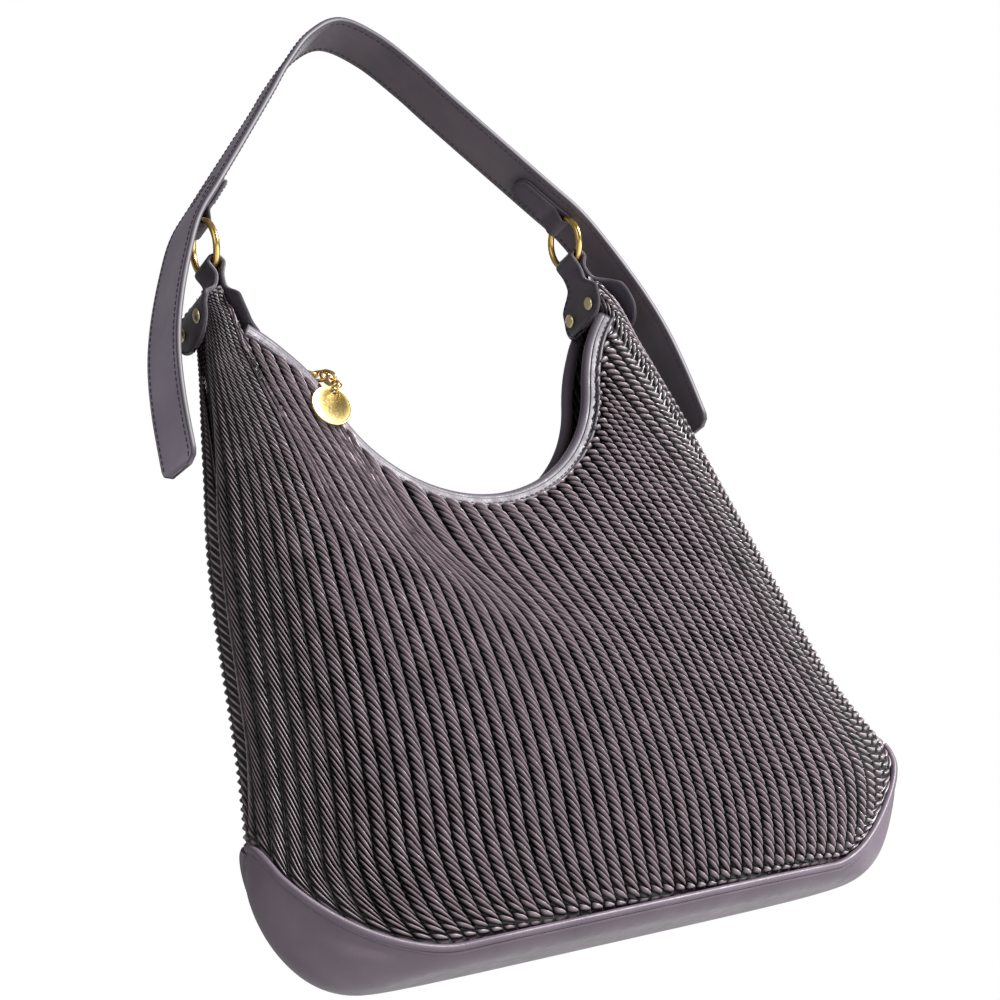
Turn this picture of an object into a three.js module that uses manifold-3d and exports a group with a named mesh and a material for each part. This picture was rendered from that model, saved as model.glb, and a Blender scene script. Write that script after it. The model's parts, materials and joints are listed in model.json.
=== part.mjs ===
// Hobo bag: a pleated rope-twist body on a smooth leather base, with a curved zip mouth,
// a shoulder strap on two round rings, and a disc charm on a short chain.
// Millimetres. +X along the bag, -Y towards the front, +Z up, origin under the middle of the bag's length.

import * as THREE from 'three';
import { mergeVertices } from 'three/addons/utils/BufferGeometryUtils.js';
import Module from 'manifold-3d';

const wasm = await Module();
wasm.setup();

// ---------------------------------------------------------------- driving dimensions

const GAP = 0.3;                       // clearance kept between neighbouring pieces

const BODY = {
  halfLength: 208,                     // at the widest height
  widestZ: 62,
  endTaper: 0.205,                     // how fast the ends close in above the widest height
  rightBulge: 6.5,                     // how far the right end stands out at half height
  footHalfLength: 155,                 // flat part of the underside
  footHalfDepth: 18,
  halfDepth: 34,
  edgeHeight: 16,                      // rounded lower edge, front and back
  depthTaper: 0.02,
  hornZ: 389,                          // top of the two horns that carry the strap
  wall: 3,
  creaseDepth: 7,                      // inward fold at each end
  creaseHalfWidth: 14,
};

// The pleats sag out over the right end of the base.
const BELLY = { z: 68, height: 34, out: 14, fromShare: 0.6 };

// The base's seam runs low along both faces and climbs into a tongue at each end.
const SEAM = {
  frontZ: 8,
  tongueZ: 83,
  tongueStart: { left: 0.62, right: 0.72 },
  tonguePower: 2.6,
  halfGap: 3.6,
  pipingRadius: 1.7,
};

// The strap's two ends hang the mouth from here: everything above the mouth sits round this middle line.
const HANG = { x: -11, leanFrom: 75, leanOver: 185 };

const MOUTH = {
  centreX: 6.5,                        // the rim's arc stands a little off the hanging line
  centreZ: 348,
  radius: 90,                          // the rim is this arc up to the flare
  flareAngle: THREE.MathUtils.degToRad(72),
  flareEnd: [121, 371],
  flarePull: [9.9, 30.4],
  hornEnd: [124, 387],
  halfGap: 12,                         // rim centre line to the middle plane
  bindingRadius: 3.2,
  underTab: 17,                        // the bindings stop this far short of the horn's top
  pull: 120,                           // how far below the rim the sides reach full depth
  lip: 10,
  lipReach: 14,
};

const ZIP = {
  radius: 104,
  leftAngle: -91,
  rightAngle: 78,
  rowY: 4.8,
  rowWidth: 2.6,
  rowHeight: 3,
  tapeWidth: 4.6,
  tapeThickness: 0.8,
  sliderAngle: -90,
  sliderLength: 11,
  sliderWidth: 15,
  plate: 1.1,
  postLength: 4,
  postWidth: 5,
};

// The loop on top of the slider that the chain is linked into.
const EYE = { radius: 3.4, hole: 1.9, thickness: 1.4, above: 3.3, ahead: 2 };

const RING = { x: 125, z: 428, radius: 15.5, wire: 2 };

const STRAP = {
  width: 32,
  layer: 1.6,
  tabWidth: 17,
  tabThickness: 2,
  tabLength: 42,
  tabSlack: 1.1,                       // between the ring's wire and the leather round it
  tabClear: 13,                        // the tab's legs lie on the strap from here on
};

// The shield-shaped strip folded over each ring and riveted to the horn.
const TAB = {
  thickness: 2.4,
  neckHalfWidth: 9.5,
  neckZ: 398,
  shieldHalfWidth: 20.5,
  shoulderZ: 387,
  sideHeight: 10,                      // straight side of the shield below its shoulder
  tipZ: 364,
  legGap: 0.6,                         // between the horn and the leg outside it
  loopSlack: 1.5,                      // between the ring's wire and the leather round it
  loopRise: 1.2,                       // the loop's middle above the lowest point of the wire's centre
  throatDrop: 7,                       // the legs run side by side from here down to the horn
};

const RIVET = { y: 11.5, z: 379, shaft: 1.4, hole: 1.8, head: 4.25, headHeight: 1.3 };

const CHAIN = {
  count: 4,
  pitch: 8.4,
  halfLength: 7.6,
  halfWidth: 4.6,
  wire: 1.0,
  play: 0.2,                           // left between one link's end and the next
  jumpRadius: 4.4,
  jumpWire: 0.8,
};

const CHARM = {
  radius: 12.4,
  thickness: 1.4,
  holeRadius: 1.9,
  holeInset: 3,
  hang: [-0.5, -0.06, -0.86],          // the way the disc hangs from its ring
};

// ---------------------------------------------------------------- materials

function leather(colour) {
  return new THREE.MeshStandardMaterial({ color: colour, roughness: 0.55, metalness: 0 });
}

const materials = {
  rope: new THREE.MeshStandardMaterial({ color: 0x4d434b, roughness: 0.5, metalness: 0 }),
  leather: leather(0x7d7388),
  darkLeather: leather(0x665c6a),
  lining: new THREE.MeshStandardMaterial({ color: 0x5a515c, roughness: 0.8, metalness: 0 }),
  board: new THREE.MeshStandardMaterial({ color: 0x8a8078, roughness: 0.9, metalness: 0 }),
  tape: new THREE.MeshStandardMaterial({ color: 0x4a424c, roughness: 0.85, metalness: 0 }),
  brass: new THREE.MeshStandardMaterial({ color: 0xcfa64a, roughness: 0.28, metalness: 1 }),
  paleBrass: new THREE.MeshStandardMaterial({ color: 0xe2d08a, roughness: 0.3, metalness: 1 }),
};

// ---------------------------------------------------------------- small helpers

const clamp01 = (value) => Math.min(1, Math.max(0, value));
const smooth = (value) => clamp01(value) ** 2 * (3 - 2 * clamp01(value));
const mix = (a, b, t) => a + (b - a) * t;

// Closes a stack of loops of points into one solid: neighbours joined, both ends fanned shut.
function solidFromLoops(loops) {
  const count = loops[0].length;
  const positions = [];
  loops.flat().forEach((p) => positions.push(p.x, p.y, p.z));
  const index = [];
  for (let row = 0; row < loops.length - 1; row += 1) {
    for (let i = 0; i < count; i += 1) {
      const a = row * count + i;
      const b = row * count + (i + 1) % count;
      index.push(a, b, b + count, a, b + count, a + count);
    }
  }
  for (const [row, flip] of [[0, true], [loops.length - 1, false]]) {
    const centre = positions.length / 3;
    const middle = loops[row].reduce((sum, p) => sum.add(p), new THREE.Vector3()).divideScalar(count);
    positions.push(middle.x, middle.y, middle.z);
    for (let i = 0; i < count; i += 1) {
      const a = row * count + i;
      const b = row * count + (i + 1) % count;
      index.push(...(flip ? [b, a, centre] : [a, b, centre]));
    }
  }
  const geometry = new THREE.BufferGeometry();
  geometry.setAttribute('position', new THREE.Float32BufferAttribute(positions, 3));
  geometry.setIndex(index);
  return facingOut(geometry);
}

// A thin wall between two matching grids of points, closed along all four edges.
function wallFromGrids(outer, inner) {
  const rows = outer.length;
  const columns = outer[0].length;
  const positions = [];
  [outer, inner].flat(2).forEach((p) => positions.push(p.x, p.y, p.z));
  const at = (layer, j, i) => layer * rows * columns + j * columns + i;
  const index = [];
  const quad = (a, b, c, d) => index.push(a, b, c, a, c, d);
  for (let j = 0; j < rows - 1; j += 1) {
    for (let i = 0; i < columns - 1; i += 1) {
      quad(at(0, j, i), at(0, j, i + 1), at(0, j + 1, i + 1), at(0, j + 1, i));
      quad(at(1, j, i), at(1, j + 1, i), at(1, j + 1, i + 1), at(1, j, i + 1));
    }
    quad(at(0, j, 0), at(0, j + 1, 0), at(1, j + 1, 0), at(1, j, 0));
    const last = columns - 1;
    quad(at(0, j, last), at(1, j, last), at(1, j + 1, last), at(0, j + 1, last));
  }
  for (let i = 0; i < columns - 1; i += 1) {
    quad(at(0, 0, i), at(1, 0, i), at(1, 0, i + 1), at(0, 0, i + 1));
    const top = rows - 1;
    quad(at(0, top, i), at(0, top, i + 1), at(1, top, i + 1), at(1, top, i));
  }
  const geometry = new THREE.BufferGeometry();
  geometry.setAttribute('position', new THREE.Float32BufferAttribute(positions, 3));
  geometry.setIndex(index);
  return facingOut(geometry);
}

function signedVolume(geometry) {
  const p = geometry.getAttribute('position');
  const index = geometry.getIndex();
  const at = (i) => new THREE.Vector3().fromBufferAttribute(p, index ? index.getX(i) : i);
  const corners = index ? index.count : p.count;
  let volume = 0;
  for (let i = 0; i < corners; i += 3) {
    volume += at(i).dot(at(i + 1).cross(at(i + 2))) / 6;
  }
  return volume;
}

function facingOut(geometry) {
  if (signedVolume(geometry) > 0) {
    return geometry;
  }
  const index = geometry.getIndex();
  for (let i = 0; i < index.count; i += 3) {
    const swap = index.getX(i);
    index.setX(i, index.getX(i + 1));
    index.setX(i + 1, swap);
  }
  return geometry;
}

function merged(geometry) {
  const bare = geometry.clone();
  bare.deleteAttribute('normal');
  bare.deleteAttribute('uv');
  return mergeVertices(bare, 1e-3);
}

function toManifold(geometry) {
  const clean = merged(geometry);
  return new wasm.Manifold(new wasm.Mesh({
    numProp: 3,
    vertProperties: new Float32Array(clean.getAttribute('position').array),
    triVerts: new Uint32Array(clean.getIndex().array),
  }));
}

function fromManifold(solid) {
  const mesh = solid.getMesh();
  const geometry = new THREE.BufferGeometry();
  geometry.setAttribute('position', new THREE.BufferAttribute(new Float32Array(mesh.vertProperties), 3));
  geometry.setIndex(new THREE.BufferAttribute(new Uint32Array(mesh.triVerts), 1));
  return geometry;
}

const cut = (geometry, ...tools) => fromManifold(
  tools.reduce((solid, tool) => solid.subtract(toManifold(tool)), toManifold(geometry)));
const common = (a, b) => fromManifold(toManifold(a).intersect(toManifold(b)));
const union = (a, b) => fromManifold(toManifold(a).add(toManifold(b)));

// The flat outline of a strip of even thickness that follows a centre line.
function stripShape(line, thickness) {
  const side = (sign) => line.map((p, i) => {
    const before = line[Math.max(0, i - 1)];
    const after = line[Math.min(line.length - 1, i + 1)];
    const along = after.clone().sub(before).normalize();
    return new THREE.Vector2(p.x - along.y * sign * thickness / 2, p.y + along.x * sign * thickness / 2);
  });
  return new THREE.Shape([...side(1), ...side(-1).reverse()]);
}

// Extrudes an outline drawn in X and Z along Y, centred on the middle plane.
function acrossY(shape, width) {
  const geometry = new THREE.ExtrudeGeometry(shape, { depth: width, bevelEnabled: false });
  geometry.rotateX(Math.PI / 2);
  geometry.translate(0, width / 2, 0);
  return geometry;
}

function tube(curve, radius, steps, sides) {
  const section = new THREE.Shape();
  section.absarc(0, 0, radius, 0, 2 * Math.PI);
  return new THREE.ExtrudeGeometry(section, { steps, curveSegments: sides, extrudePath: curve });
}

// Points along an arc in X and Z, from one angle to another.
function arcPoints(x, z, radius, from, to) {
  const steps = 8;
  return Array.from({ length: steps + 1 }, (_, i) => mix(from, to, i / steps))
    .map((angle) => new THREE.Vector2(x + radius * Math.cos(angle), z + radius * Math.sin(angle)));
}

function rodAlongX(radius, fromX, toX, y, z) {
  const rod = new THREE.CylinderGeometry(radius, radius, Math.abs(toX - fromX), 8);
  rod.rotateZ(Math.PI / 2);
  rod.translate((fromX + toX) / 2, y, z);
  return rod;
}

function mirrorX(geometry) {
  const flipped = merged(geometry);
  flipped.scale(-1, 1, 1);
  return facingOut(flipped);
}

function named(name, geometry, material) {
  const mesh = new THREE.Mesh(geometry, material);
  mesh.name = name;
  return mesh;
}

// ---------------------------------------------------------------- the body's shape

// From the body's middle to one of its ends; end is -1 for the left and 1 for the right.
function halfLengthAt(z, end) {
  const { halfLength, widestZ, endTaper, rightBulge, footHalfLength, hornZ } = BODY;
  if (z >= widestZ) {
    const rise = clamp01((z - widestZ) / (hornZ - widestZ));
    const bulge = end > 0 ? rightBulge * Math.sin(Math.PI * rise) : 0;
    return halfLength - endTaper * (z - widestZ) + bulge;
  }
  return footHalfLength + (halfLength - footHalfLength) * Math.sqrt(1 - ((widestZ - z) / widestZ) ** 2);
}

function fullHalfDepthAt(z) {
  const { halfDepth, footHalfDepth, edgeHeight, widestZ, depthTaper } = BODY;
  if (z < edgeHeight) {
    return footHalfDepth + (halfDepth - footHalfDepth) * Math.sqrt(1 - ((edgeHeight - z) / edgeHeight) ** 2);
  }
  return halfDepth - depthTaper * Math.max(0, z - widestZ);
}

// The body's middle leans over from the centre of the base to the hanging line.
const leanAt = (z) => HANG.x * smooth((z - HANG.leanFrom) / HANG.leanOver);

// One side of the rim seen from the front: the arc, a flare and a short straight horn.
function rimSide(end) {
  const { centreX, centreZ, radius, flareAngle, flareEnd, flarePull, hornEnd } = MOUTH;
  const start = new THREE.Vector2(
    centreX + end * radius * Math.sin(flareAngle), centreZ - radius * Math.cos(flareAngle));
  const tip = new THREE.Vector2(end * flareEnd[0], flareEnd[1]);
  const pull = new THREE.Vector2(start.x + end * flarePull[0], start.y + flarePull[1]);
  const flare = new THREE.QuadraticBezierCurve(start, pull, tip);
  const horn = new THREE.LineCurve(tip, new THREE.Vector2(end * hornEnd[0], hornEnd[1]));
  return { flare, horn, length: arcLength + flare.getLength() + horn.getLength() };
}

const arcLength = MOUTH.radius * MOUTH.flareAngle;
const rims = { '-1': rimSide(-1), 1: rimSide(1) };
const rimLength = (end) => rims[end].length;

// A point at a distance along the rim from the arc's lowest point; distances to the left are negative.
function rimPoint(distance) {
  const travel = Math.abs(distance);
  if (travel <= arcLength) {
    const angle = distance / MOUTH.radius;
    return new THREE.Vector2(
      MOUTH.centreX + MOUTH.radius * Math.sin(angle), MOUTH.centreZ - MOUTH.radius * Math.cos(angle));
  }
  const { flare, horn } = rims[Math.sign(distance)];
  const pastArc = travel - arcLength;
  if (pastArc <= flare.getLength()) {
    return flare.getPointAt(pastArc / flare.getLength());
  }
  return horn.getPointAt(clamp01((pastArc - flare.getLength()) / horn.getLength()));
}

// Points along the rim pushed outwards, away from the opening.
function rimOffset(distance, outwards) {
  const step = 0.5;
  const before = rimPoint(Math.max(-rimLength(-1), distance - step));
  const after = rimPoint(Math.min(rimLength(1), distance + step));
  const along = after.sub(before).normalize();
  const p = rimPoint(distance);
  return new THREE.Vector2(p.x + along.y * outwards, p.y - along.x * outwards);
}

const rimSamples = Array.from(
  { length: 161 }, (_, i) => rimPoint(mix(-rimLength(-1), rimLength(1), i / 160)));

function distanceFromRim(x, z) {
  return Math.min(...rimSamples.map((p) => Math.hypot(x - p.x, z - p.y)));
}

// Half of the bag's depth at a place in the front view; share is x over the half length there.
function halfDepth(share, z) {
  const x = share * halfLengthAt(z, share);
  const below = distanceFromRim(x, z);
  const roundness = 5 + 9 * (z / BODY.hornZ) ** 2;
  const edge = (1 - Math.min(1, Math.abs(share)) ** roundness) ** 0.45;
  const hornSpread = 3 * smooth((z - MOUTH.centreZ) / 25);
  const lip = MOUTH.halfGap + hornSpread + MOUTH.lip * (1 - Math.exp(-below / MOUTH.lipReach));
  const open = smooth((below - MOUTH.lip) / MOUTH.pull);
  return mix(lip, fullHalfDepthAt(z), open) * edge;
}

// The inward fold at each end, which fades out at the base and at the horn.
function creaseAt(y, z) {
  const height = smooth((z - SEAM.tongueZ) / 60) * smooth((BODY.hornZ - 20 - z) / 60);
  return BODY.creaseDepth * height * clamp01(1 - Math.abs(y) / BODY.creaseHalfWidth) ** 2;
}

function bellyAt(share, z) {
  const atEnd = smooth((share - BELLY.fromShare) / (1 - BELLY.fromShare));
  return BELLY.out * atEnd * Math.exp(-(((z - BELLY.z) / BELLY.height) ** 2));
}

function bodyPoint(share, z, side) {
  const y = side * halfDepth(share, z);
  const reach = halfLengthAt(z, share);
  const x = leanAt(z) + share * reach - Math.sign(share) * creaseAt(y, z) + bellyAt(share, z);
  return new THREE.Vector3(x, y, z);
}

function seamHeight(share) {
  const start = share < 0 ? SEAM.tongueStart.left : SEAM.tongueStart.right;
  const rise = clamp01((Math.abs(share) - start) / (1 - start));
  return SEAM.frontZ + (SEAM.tongueZ - SEAM.frontZ) * rise ** SEAM.tonguePower;
}

// Half of the gap left for the piping, measured upwards; it is taller where the seam climbs.
function seamGap(share) {
  const step = 0.01;
  const low = Math.max(-1, share - step);
  const high = Math.min(1, share + step);
  const a = bodyPoint(low, seamHeight(low), 1);
  const b = bodyPoint(high, seamHeight(high), 1);
  const climb = (b.z - a.z) / Math.hypot(b.x - a.x, b.y - a.y);
  return SEAM.halfGap * Math.sqrt(1 + climb ** 2);
}

// ---------------------------------------------------------------- pleated panels and lining

const panelEdge = 2 * MOUTH.bindingRadius + 4 * GAP;    // from the rim's line to the panel's cut edge

// A point of a panel: across runs from -1 to 1 along the bag, up from 0 at the seam to 1 at the rim.
function panelPoint(across, up, side) {
  const bottomShare = Math.sin(across * Math.PI / 2);
  const bottomZ = seamHeight(bottomShare) + seamGap(bottomShare);
  const end = across < 0 ? -1 : 1;
  const rimEdge = rimOffset(end * rimLength(end), panelEdge);
  const crown = halfLengthAt(BODY.hornZ, end) - end * rimEdge.x;
  const travel = Math.abs(across) * (rimLength(end) + crown);
  const top = travel < rimLength(end)
    ? rimOffset(end * travel, panelEdge)
    : new THREE.Vector2(rimEdge.x + end * (travel - rimLength(end)), rimEdge.y);
  const topShare = top.x / halfLengthAt(top.y, end);
  const share = Math.max(-1, Math.min(1, mix(bottomShare, topShare, up)));
  return bodyPoint(share, mix(bottomZ, top.y, up), side);
}

function panelNormal(across, up, side) {
  const step = 0.004;
  const left = Math.max(-1, across - step);
  const right = Math.min(1, across + step);
  const low = Math.max(0, up - step);
  const high = Math.min(1, up + step);
  const along = panelPoint(right, up, side).sub(panelPoint(left, up, side));
  const rise = panelPoint(across, high, side).sub(panelPoint(across, low, side));
  const normal = along.cross(rise).multiplyScalar(-side).normalize();
  if (Math.abs(across) === 1) {
    normal.y = 0;
    normal.normalize();
  }
  return normal;
}

function panelGrid(side, columns, rows, lowUp, highUp, inset) {
  const grid = [];
  for (let j = 0; j <= rows; j += 1) {
    const row = [];
    for (let i = 0; i <= columns; i += 1) {
      const across = 2 * i / columns - 1;
      const up = mix(lowUp, highUp, j / rows);
      const p = panelPoint(across, up, side);
      p.addScaledVector(panelNormal(across, up, side), -inset);
      const nearest = GAP / 2;
      p.y = side * Math.max(nearest, side * p.y);
      row.push(p);
    }
    grid.push(row);
  }
  return grid;
}

function panel(side) {
  const outer = panelGrid(side, 28, 10, 0, 1, 0);
  const inner = panelGrid(side, 28, 10, 0, 1, BODY.wall);
  const holes = [-1, 1].map((end) => rodAlongX(
    RIVET.hole, HANG.x + end * (RING.x + 4), HANG.x + end * (RING.x + 30), side * RIVET.y, RIVET.z));
  return cut(wallFromGrids(outer, inner), ...holes);
}

function liningPanel(side) {
  const liningGap = BODY.wall + 2.2;
  const liningThickness = 1;
  const outer = panelGrid(side, 20, 7, 0.03, 0.9, liningGap);
  const inner = panelGrid(side, 20, 7, 0.03, 0.9, liningGap + liningThickness);
  return wallFromGrids(outer, inner);
}

// ---------------------------------------------------------------- base

// One level loop round the lower body, with the height given as a share of the seam's height.
function baseLoop(level, inset, floor) {
  const around = 88;
  const loop = [];
  for (let i = 0; i < around; i += 1) {
    const angle = 2 * Math.PI * (i + 0.5) / around;
    const share = Math.cos(angle);
    const side = Math.sign(Math.sin(angle));
    const top = seamHeight(share) - seamGap(share);
    const z = Math.max(floor, top * level);
    const outside = bodyPoint(share, z, side);
    const narrow = 1 - inset / BODY.halfDepth;
    const short = 1 - inset / BODY.halfLength;
    loop.push(new THREE.Vector3(outside.x * short, outside.y * narrow, z));
  }
  return loop;
}

const levelAt = (step, steps) => (step / steps) ** 1.6;

function basePanel() {
  const steps = 5;
  const shrunk = (loop, factor) => loop.map((p) => new THREE.Vector3(p.x * factor, p.y * factor, p.z));
  const outer = Array.from({ length: steps + 1 }, (_, i) => baseLoop(levelAt(i, steps), 0, 0));
  const inner = Array.from(
    { length: steps + 1 }, (_, i) => baseLoop(levelAt(i, steps), BODY.wall, BODY.wall));
  inner.forEach((loop, i) => loop.forEach((p) => { p.z = Math.max(p.z, BODY.wall + i * 0.05); }));
  return solidFromLoops([shrunk(outer[0], 0.4), ...outer, ...inner.reverse(), shrunk(inner[steps], 0.4)]);
}

function floorPlate(lowZ, thickness, inset) {
  const loop = (z) => baseLoop(0, inset, BODY.wall).map((p) => new THREE.Vector3(p.x, p.y, z));
  return solidFromLoops([loop(lowZ), loop(lowZ + thickness)]);
}

function basePiping(side) {
  const points = [];
  const steps = 60;
  for (let i = 0; i <= steps; i += 1) {
    const share = Math.sin(Math.PI * (i / steps - 0.5));
    const p = bodyPoint(share, seamHeight(share), side);
    p.y = side * Math.max(SEAM.pipingRadius + GAP, side * p.y);
    points.push(p);
  }
  return tube(new THREE.CatmullRomCurve3(points, false, 'centripetal'), SEAM.pipingRadius, steps, 3);
}

// ---------------------------------------------------------------- mouth

function rimBinding(side) {
  const points = [];
  const steps = 36;
  for (let i = -steps; i <= steps; i += 1) {
    const distance = i / steps * (rimLength(i < 0 ? -1 : 1) - MOUTH.underTab);
    const p = rimOffset(distance, MOUTH.bindingRadius);
    const spread = 3 * smooth((p.y - MOUTH.centreZ) / 25);
    points.push(new THREE.Vector3(p.x, side * (MOUTH.halfGap + spread), p.y));
  }
  return tube(new THREE.CatmullRomCurve3(points), MOUTH.bindingRadius, 44, 4);
}

// A band that follows the zip's arc, between two radii, seen from the front.
function zipBand(innerRadius, outerRadius, fromAngle, toAngle, thickness, y) {
  const segments = Math.ceil((toAngle - fromAngle) / 10);
  const start = THREE.MathUtils.degToRad(fromAngle - 90);
  const end = THREE.MathUtils.degToRad(toAngle - 90);
  const shape = new THREE.Shape();
  shape.absarc(MOUTH.centreX, MOUTH.centreZ, outerRadius, start, end, false);
  shape.absarc(MOUTH.centreX, MOUTH.centreZ, innerRadius, end, start, true);
  const geometry = new THREE.ExtrudeGeometry(
    shape, { depth: thickness, bevelEnabled: false, curveSegments: segments });
  geometry.rotateX(Math.PI / 2);
  geometry.translate(0, y + thickness / 2, 0);
  return geometry;
}

function zipRow(side) {
  const half = ZIP.rowHeight / 2;
  return zipBand(
    ZIP.radius - half, ZIP.radius + half, ZIP.leftAngle, ZIP.rightAngle, ZIP.rowWidth, side * ZIP.rowY);
}

// The tape lies in the mouth, from its row of teeth out to the lining.
function zipTape(side) {
  const half = ZIP.tapeThickness / 2;
  const y = ZIP.rowY + ZIP.rowWidth / 2 + GAP + ZIP.tapeWidth / 2;
  return zipBand(
    ZIP.radius - half, ZIP.radius + half, ZIP.leftAngle + 5, ZIP.rightAngle, ZIP.tapeWidth, side * y);
}

function zipStop(fromAngle, toAngle, y, width) {
  const half = ZIP.rowHeight / 2 + 0.4;
  return zipBand(ZIP.radius - half, ZIP.radius + half, fromAngle, toAngle, width, y);
}

// Moves something built at the foot of the zip's arc along the arc to an angle.
function alongZip(geometry, angle) {
  geometry.translate(0, 0, -MOUTH.centreZ);
  geometry.rotateY(-THREE.MathUtils.degToRad(angle));
  geometry.translate(MOUTH.centreX, 0, MOUTH.centreZ);
  return geometry;
}

const channel = ZIP.rowHeight + 1;                      // height of the slider's slot for the rows
const eyeHeight = channel / 2 + ZIP.plate + EYE.above;  // the eye's middle above the rows
const eyeRadius = ZIP.radius - eyeHeight;

// Two plates joined by a post between the rows, with an eye on top for the chain.
function zipSlider() {
  const middleZ = MOUTH.centreZ - ZIP.radius;
  const box = (x, y, z, atZ) => new THREE.BoxGeometry(x, y, z).translate(0, 0, middleZ + atZ);
  const lower = box(ZIP.sliderLength, ZIP.sliderWidth, ZIP.plate, -(channel + ZIP.plate) / 2);
  const upper = box(ZIP.sliderLength, ZIP.sliderWidth, ZIP.plate, (channel + ZIP.plate) / 2);
  const post = box(ZIP.postLength, ZIP.postWidth, channel + ZIP.plate, 0);
  const eyeShape = new THREE.Shape();
  eyeShape.absarc(0, 0, EYE.radius, 0, 2 * Math.PI);
  eyeShape.holes.push(new THREE.Path().absarc(0, 0, EYE.hole, 0, 2 * Math.PI));
  const eye = acrossY(eyeShape, EYE.thickness).translate(EYE.ahead, 0, middleZ + eyeHeight);
  return alongZip([upper, post, eye].reduce((sum, piece) => union(sum, piece), lower), ZIP.sliderAngle);
}

// ---------------------------------------------------------------- chain and charm

// The chain's path: over the rim beside the slider, then down in front of the rim.
const zipPoint = (angle, radius, y) => new THREE.Vector3(
  MOUTH.centreX + radius * Math.sin(THREE.MathUtils.degToRad(angle)), y,
  MOUTH.centreZ - radius * Math.cos(THREE.MathUtils.degToRad(angle)));

const chainPath = new THREE.CatmullRomCurve3([
  zipPoint(ZIP.sliderAngle + 1, eyeRadius, 0),
  new THREE.Vector3(-84.8, -2.0, 344.2),
  new THREE.Vector3(-79.3, -8, 340.6),
  new THREE.Vector3(-77.9, -15.5, 335.4),
  new THREE.Vector3(-78.6, -21.8, 330),
  new THREE.Vector3(-82.1, -23.6, 323.5),
  new THREE.Vector3(-86.1, -23.6, 316.5),
  new THREE.Vector3(-94.1, -23.6, 302.5),
], false, 'centripetal');

// A closed oval wire about its own middle: long way along X, short way along Z.
function ovalLink(halfLength, halfWidth, wire, around, sides) {
  const straight = halfLength - halfWidth;
  const loops = [];
  for (let i = 0; i < around; i += 1) {
    const angle = 2 * Math.PI * i / around;
    const outwards = new THREE.Vector3(Math.cos(angle), 0, Math.sin(angle));
    const centre = outwards.clone().multiplyScalar(halfWidth - wire);
    centre.x += Math.sign(Math.round(outwards.x * 1e6)) * straight;
    const ring = [];
    for (let j = 0; j < sides; j += 1) {
      const turn = 2 * Math.PI * j / sides;
      ring.push(centre.clone()
        .addScaledVector(outwards, wire * Math.cos(turn))
        .add(new THREE.Vector3(0, wire * Math.sin(turn), 0)));
    }
    loops.push(ring);
  }
  return closedTube(loops);
}

function closedTube(loops) {
  const sides = loops[0].length;
  const positions = [];
  loops.flat().forEach((p) => positions.push(p.x, p.y, p.z));
  const index = [];
  for (let i = 0; i < loops.length; i += 1) {
    const next = (i + 1) % loops.length;
    for (let j = 0; j < sides; j += 1) {
      const a = i * sides + j;
      const b = i * sides + (j + 1) % sides;
      const c = next * sides + (j + 1) % sides;
      const d = next * sides + j;
      index.push(a, b, c, a, c, d);
    }
  }
  const geometry = new THREE.BufferGeometry();
  geometry.setAttribute('position', new THREE.Float32BufferAttribute(positions, 3));
  geometry.setIndex(index);
  return facingOut(geometry);
}

// Places a piece built about its own middle so that its X runs along a direction.
function turnedTo(geometry, place, along, onEdge) {
  const flat = new THREE.Vector3(0, 1, 0);
  const across = flat.clone().addScaledVector(along, -flat.dot(along)).normalize();
  const lift = new THREE.Vector3().crossVectors(along, across);
  const frame = onEdge
    ? new THREE.Matrix4().makeBasis(along, across, lift)
    : new THREE.Matrix4().makeBasis(along, lift.negate(), across);
  return geometry.applyMatrix4(frame.setPosition(place));
}

const onChainPath = (distance) => chainPath.getPointAt(clamp01(distance / chainPath.getLength()));

// The middle and direction of a piece whose two ends lie on the chain's path.
function spanOnChain(distance, reach) {
  const start = onChainPath(distance - reach);
  const end = onChainPath(distance + reach);
  return { place: start.clone().add(end).divideScalar(2), along: end.clone().sub(start).normalize() };
}

const firstLink = CHAIN.halfLength - CHAIN.wire - CHAIN.play;
const linkDistance = (i) => firstLink + CHAIN.pitch * i;
const jumpDistance = linkDistance(CHAIN.count - 1) + CHAIN.halfLength - 2 * CHAIN.wire
  + CHAIN.jumpRadius - 2 * CHAIN.jumpWire - 4 * CHAIN.play;
const linkSpan = (i) => spanOnChain(linkDistance(i), CHAIN.halfLength - CHAIN.wire);
const jumpSpan = spanOnChain(jumpDistance, CHAIN.jumpRadius - CHAIN.jumpWire);

function chainLink(i) {
  const link = ovalLink(CHAIN.halfLength, CHAIN.halfWidth, CHAIN.wire, 14, 6);
  return turnedTo(link, linkSpan(i).place, linkSpan(i).along, i % 2 === 1);
}

function jumpRing() {
  const ring = ovalLink(CHAIN.jumpRadius, CHAIN.jumpRadius, CHAIN.jumpWire, 12, 6);
  return turnedTo(ring, jumpSpan.place, jumpSpan.along, CHAIN.count % 2 === 1);
}

// A plain round disc with one hole, hanging flat against the front.
function charmDisc() {
  const outline = new THREE.Shape();
  outline.absarc(0, 0, CHARM.radius, 0, 2 * Math.PI);
  outline.holes.push(new THREE.Path().absarc(
    -(CHARM.radius - CHARM.holeInset), 0, CHARM.holeRadius, 0, 2 * Math.PI));
  const disc = new THREE.ExtrudeGeometry(
    outline, { depth: CHARM.thickness, bevelEnabled: false, curveSegments: 12 });
  disc.translate(0, 0, -CHARM.thickness / 2);
  disc.rotateX(Math.PI / 2);
  const hang = new THREE.Vector3(...CHARM.hang).normalize();
  const place = jumpSpan.place.clone()
    .addScaledVector(jumpSpan.along, CHAIN.jumpRadius - CHAIN.jumpWire)
    .addScaledVector(hang, CHARM.radius - CHARM.holeInset);
  return turnedTo(disc, place, hang, true);
}

// ---------------------------------------------------------------- rings, tabs and rivets

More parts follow.
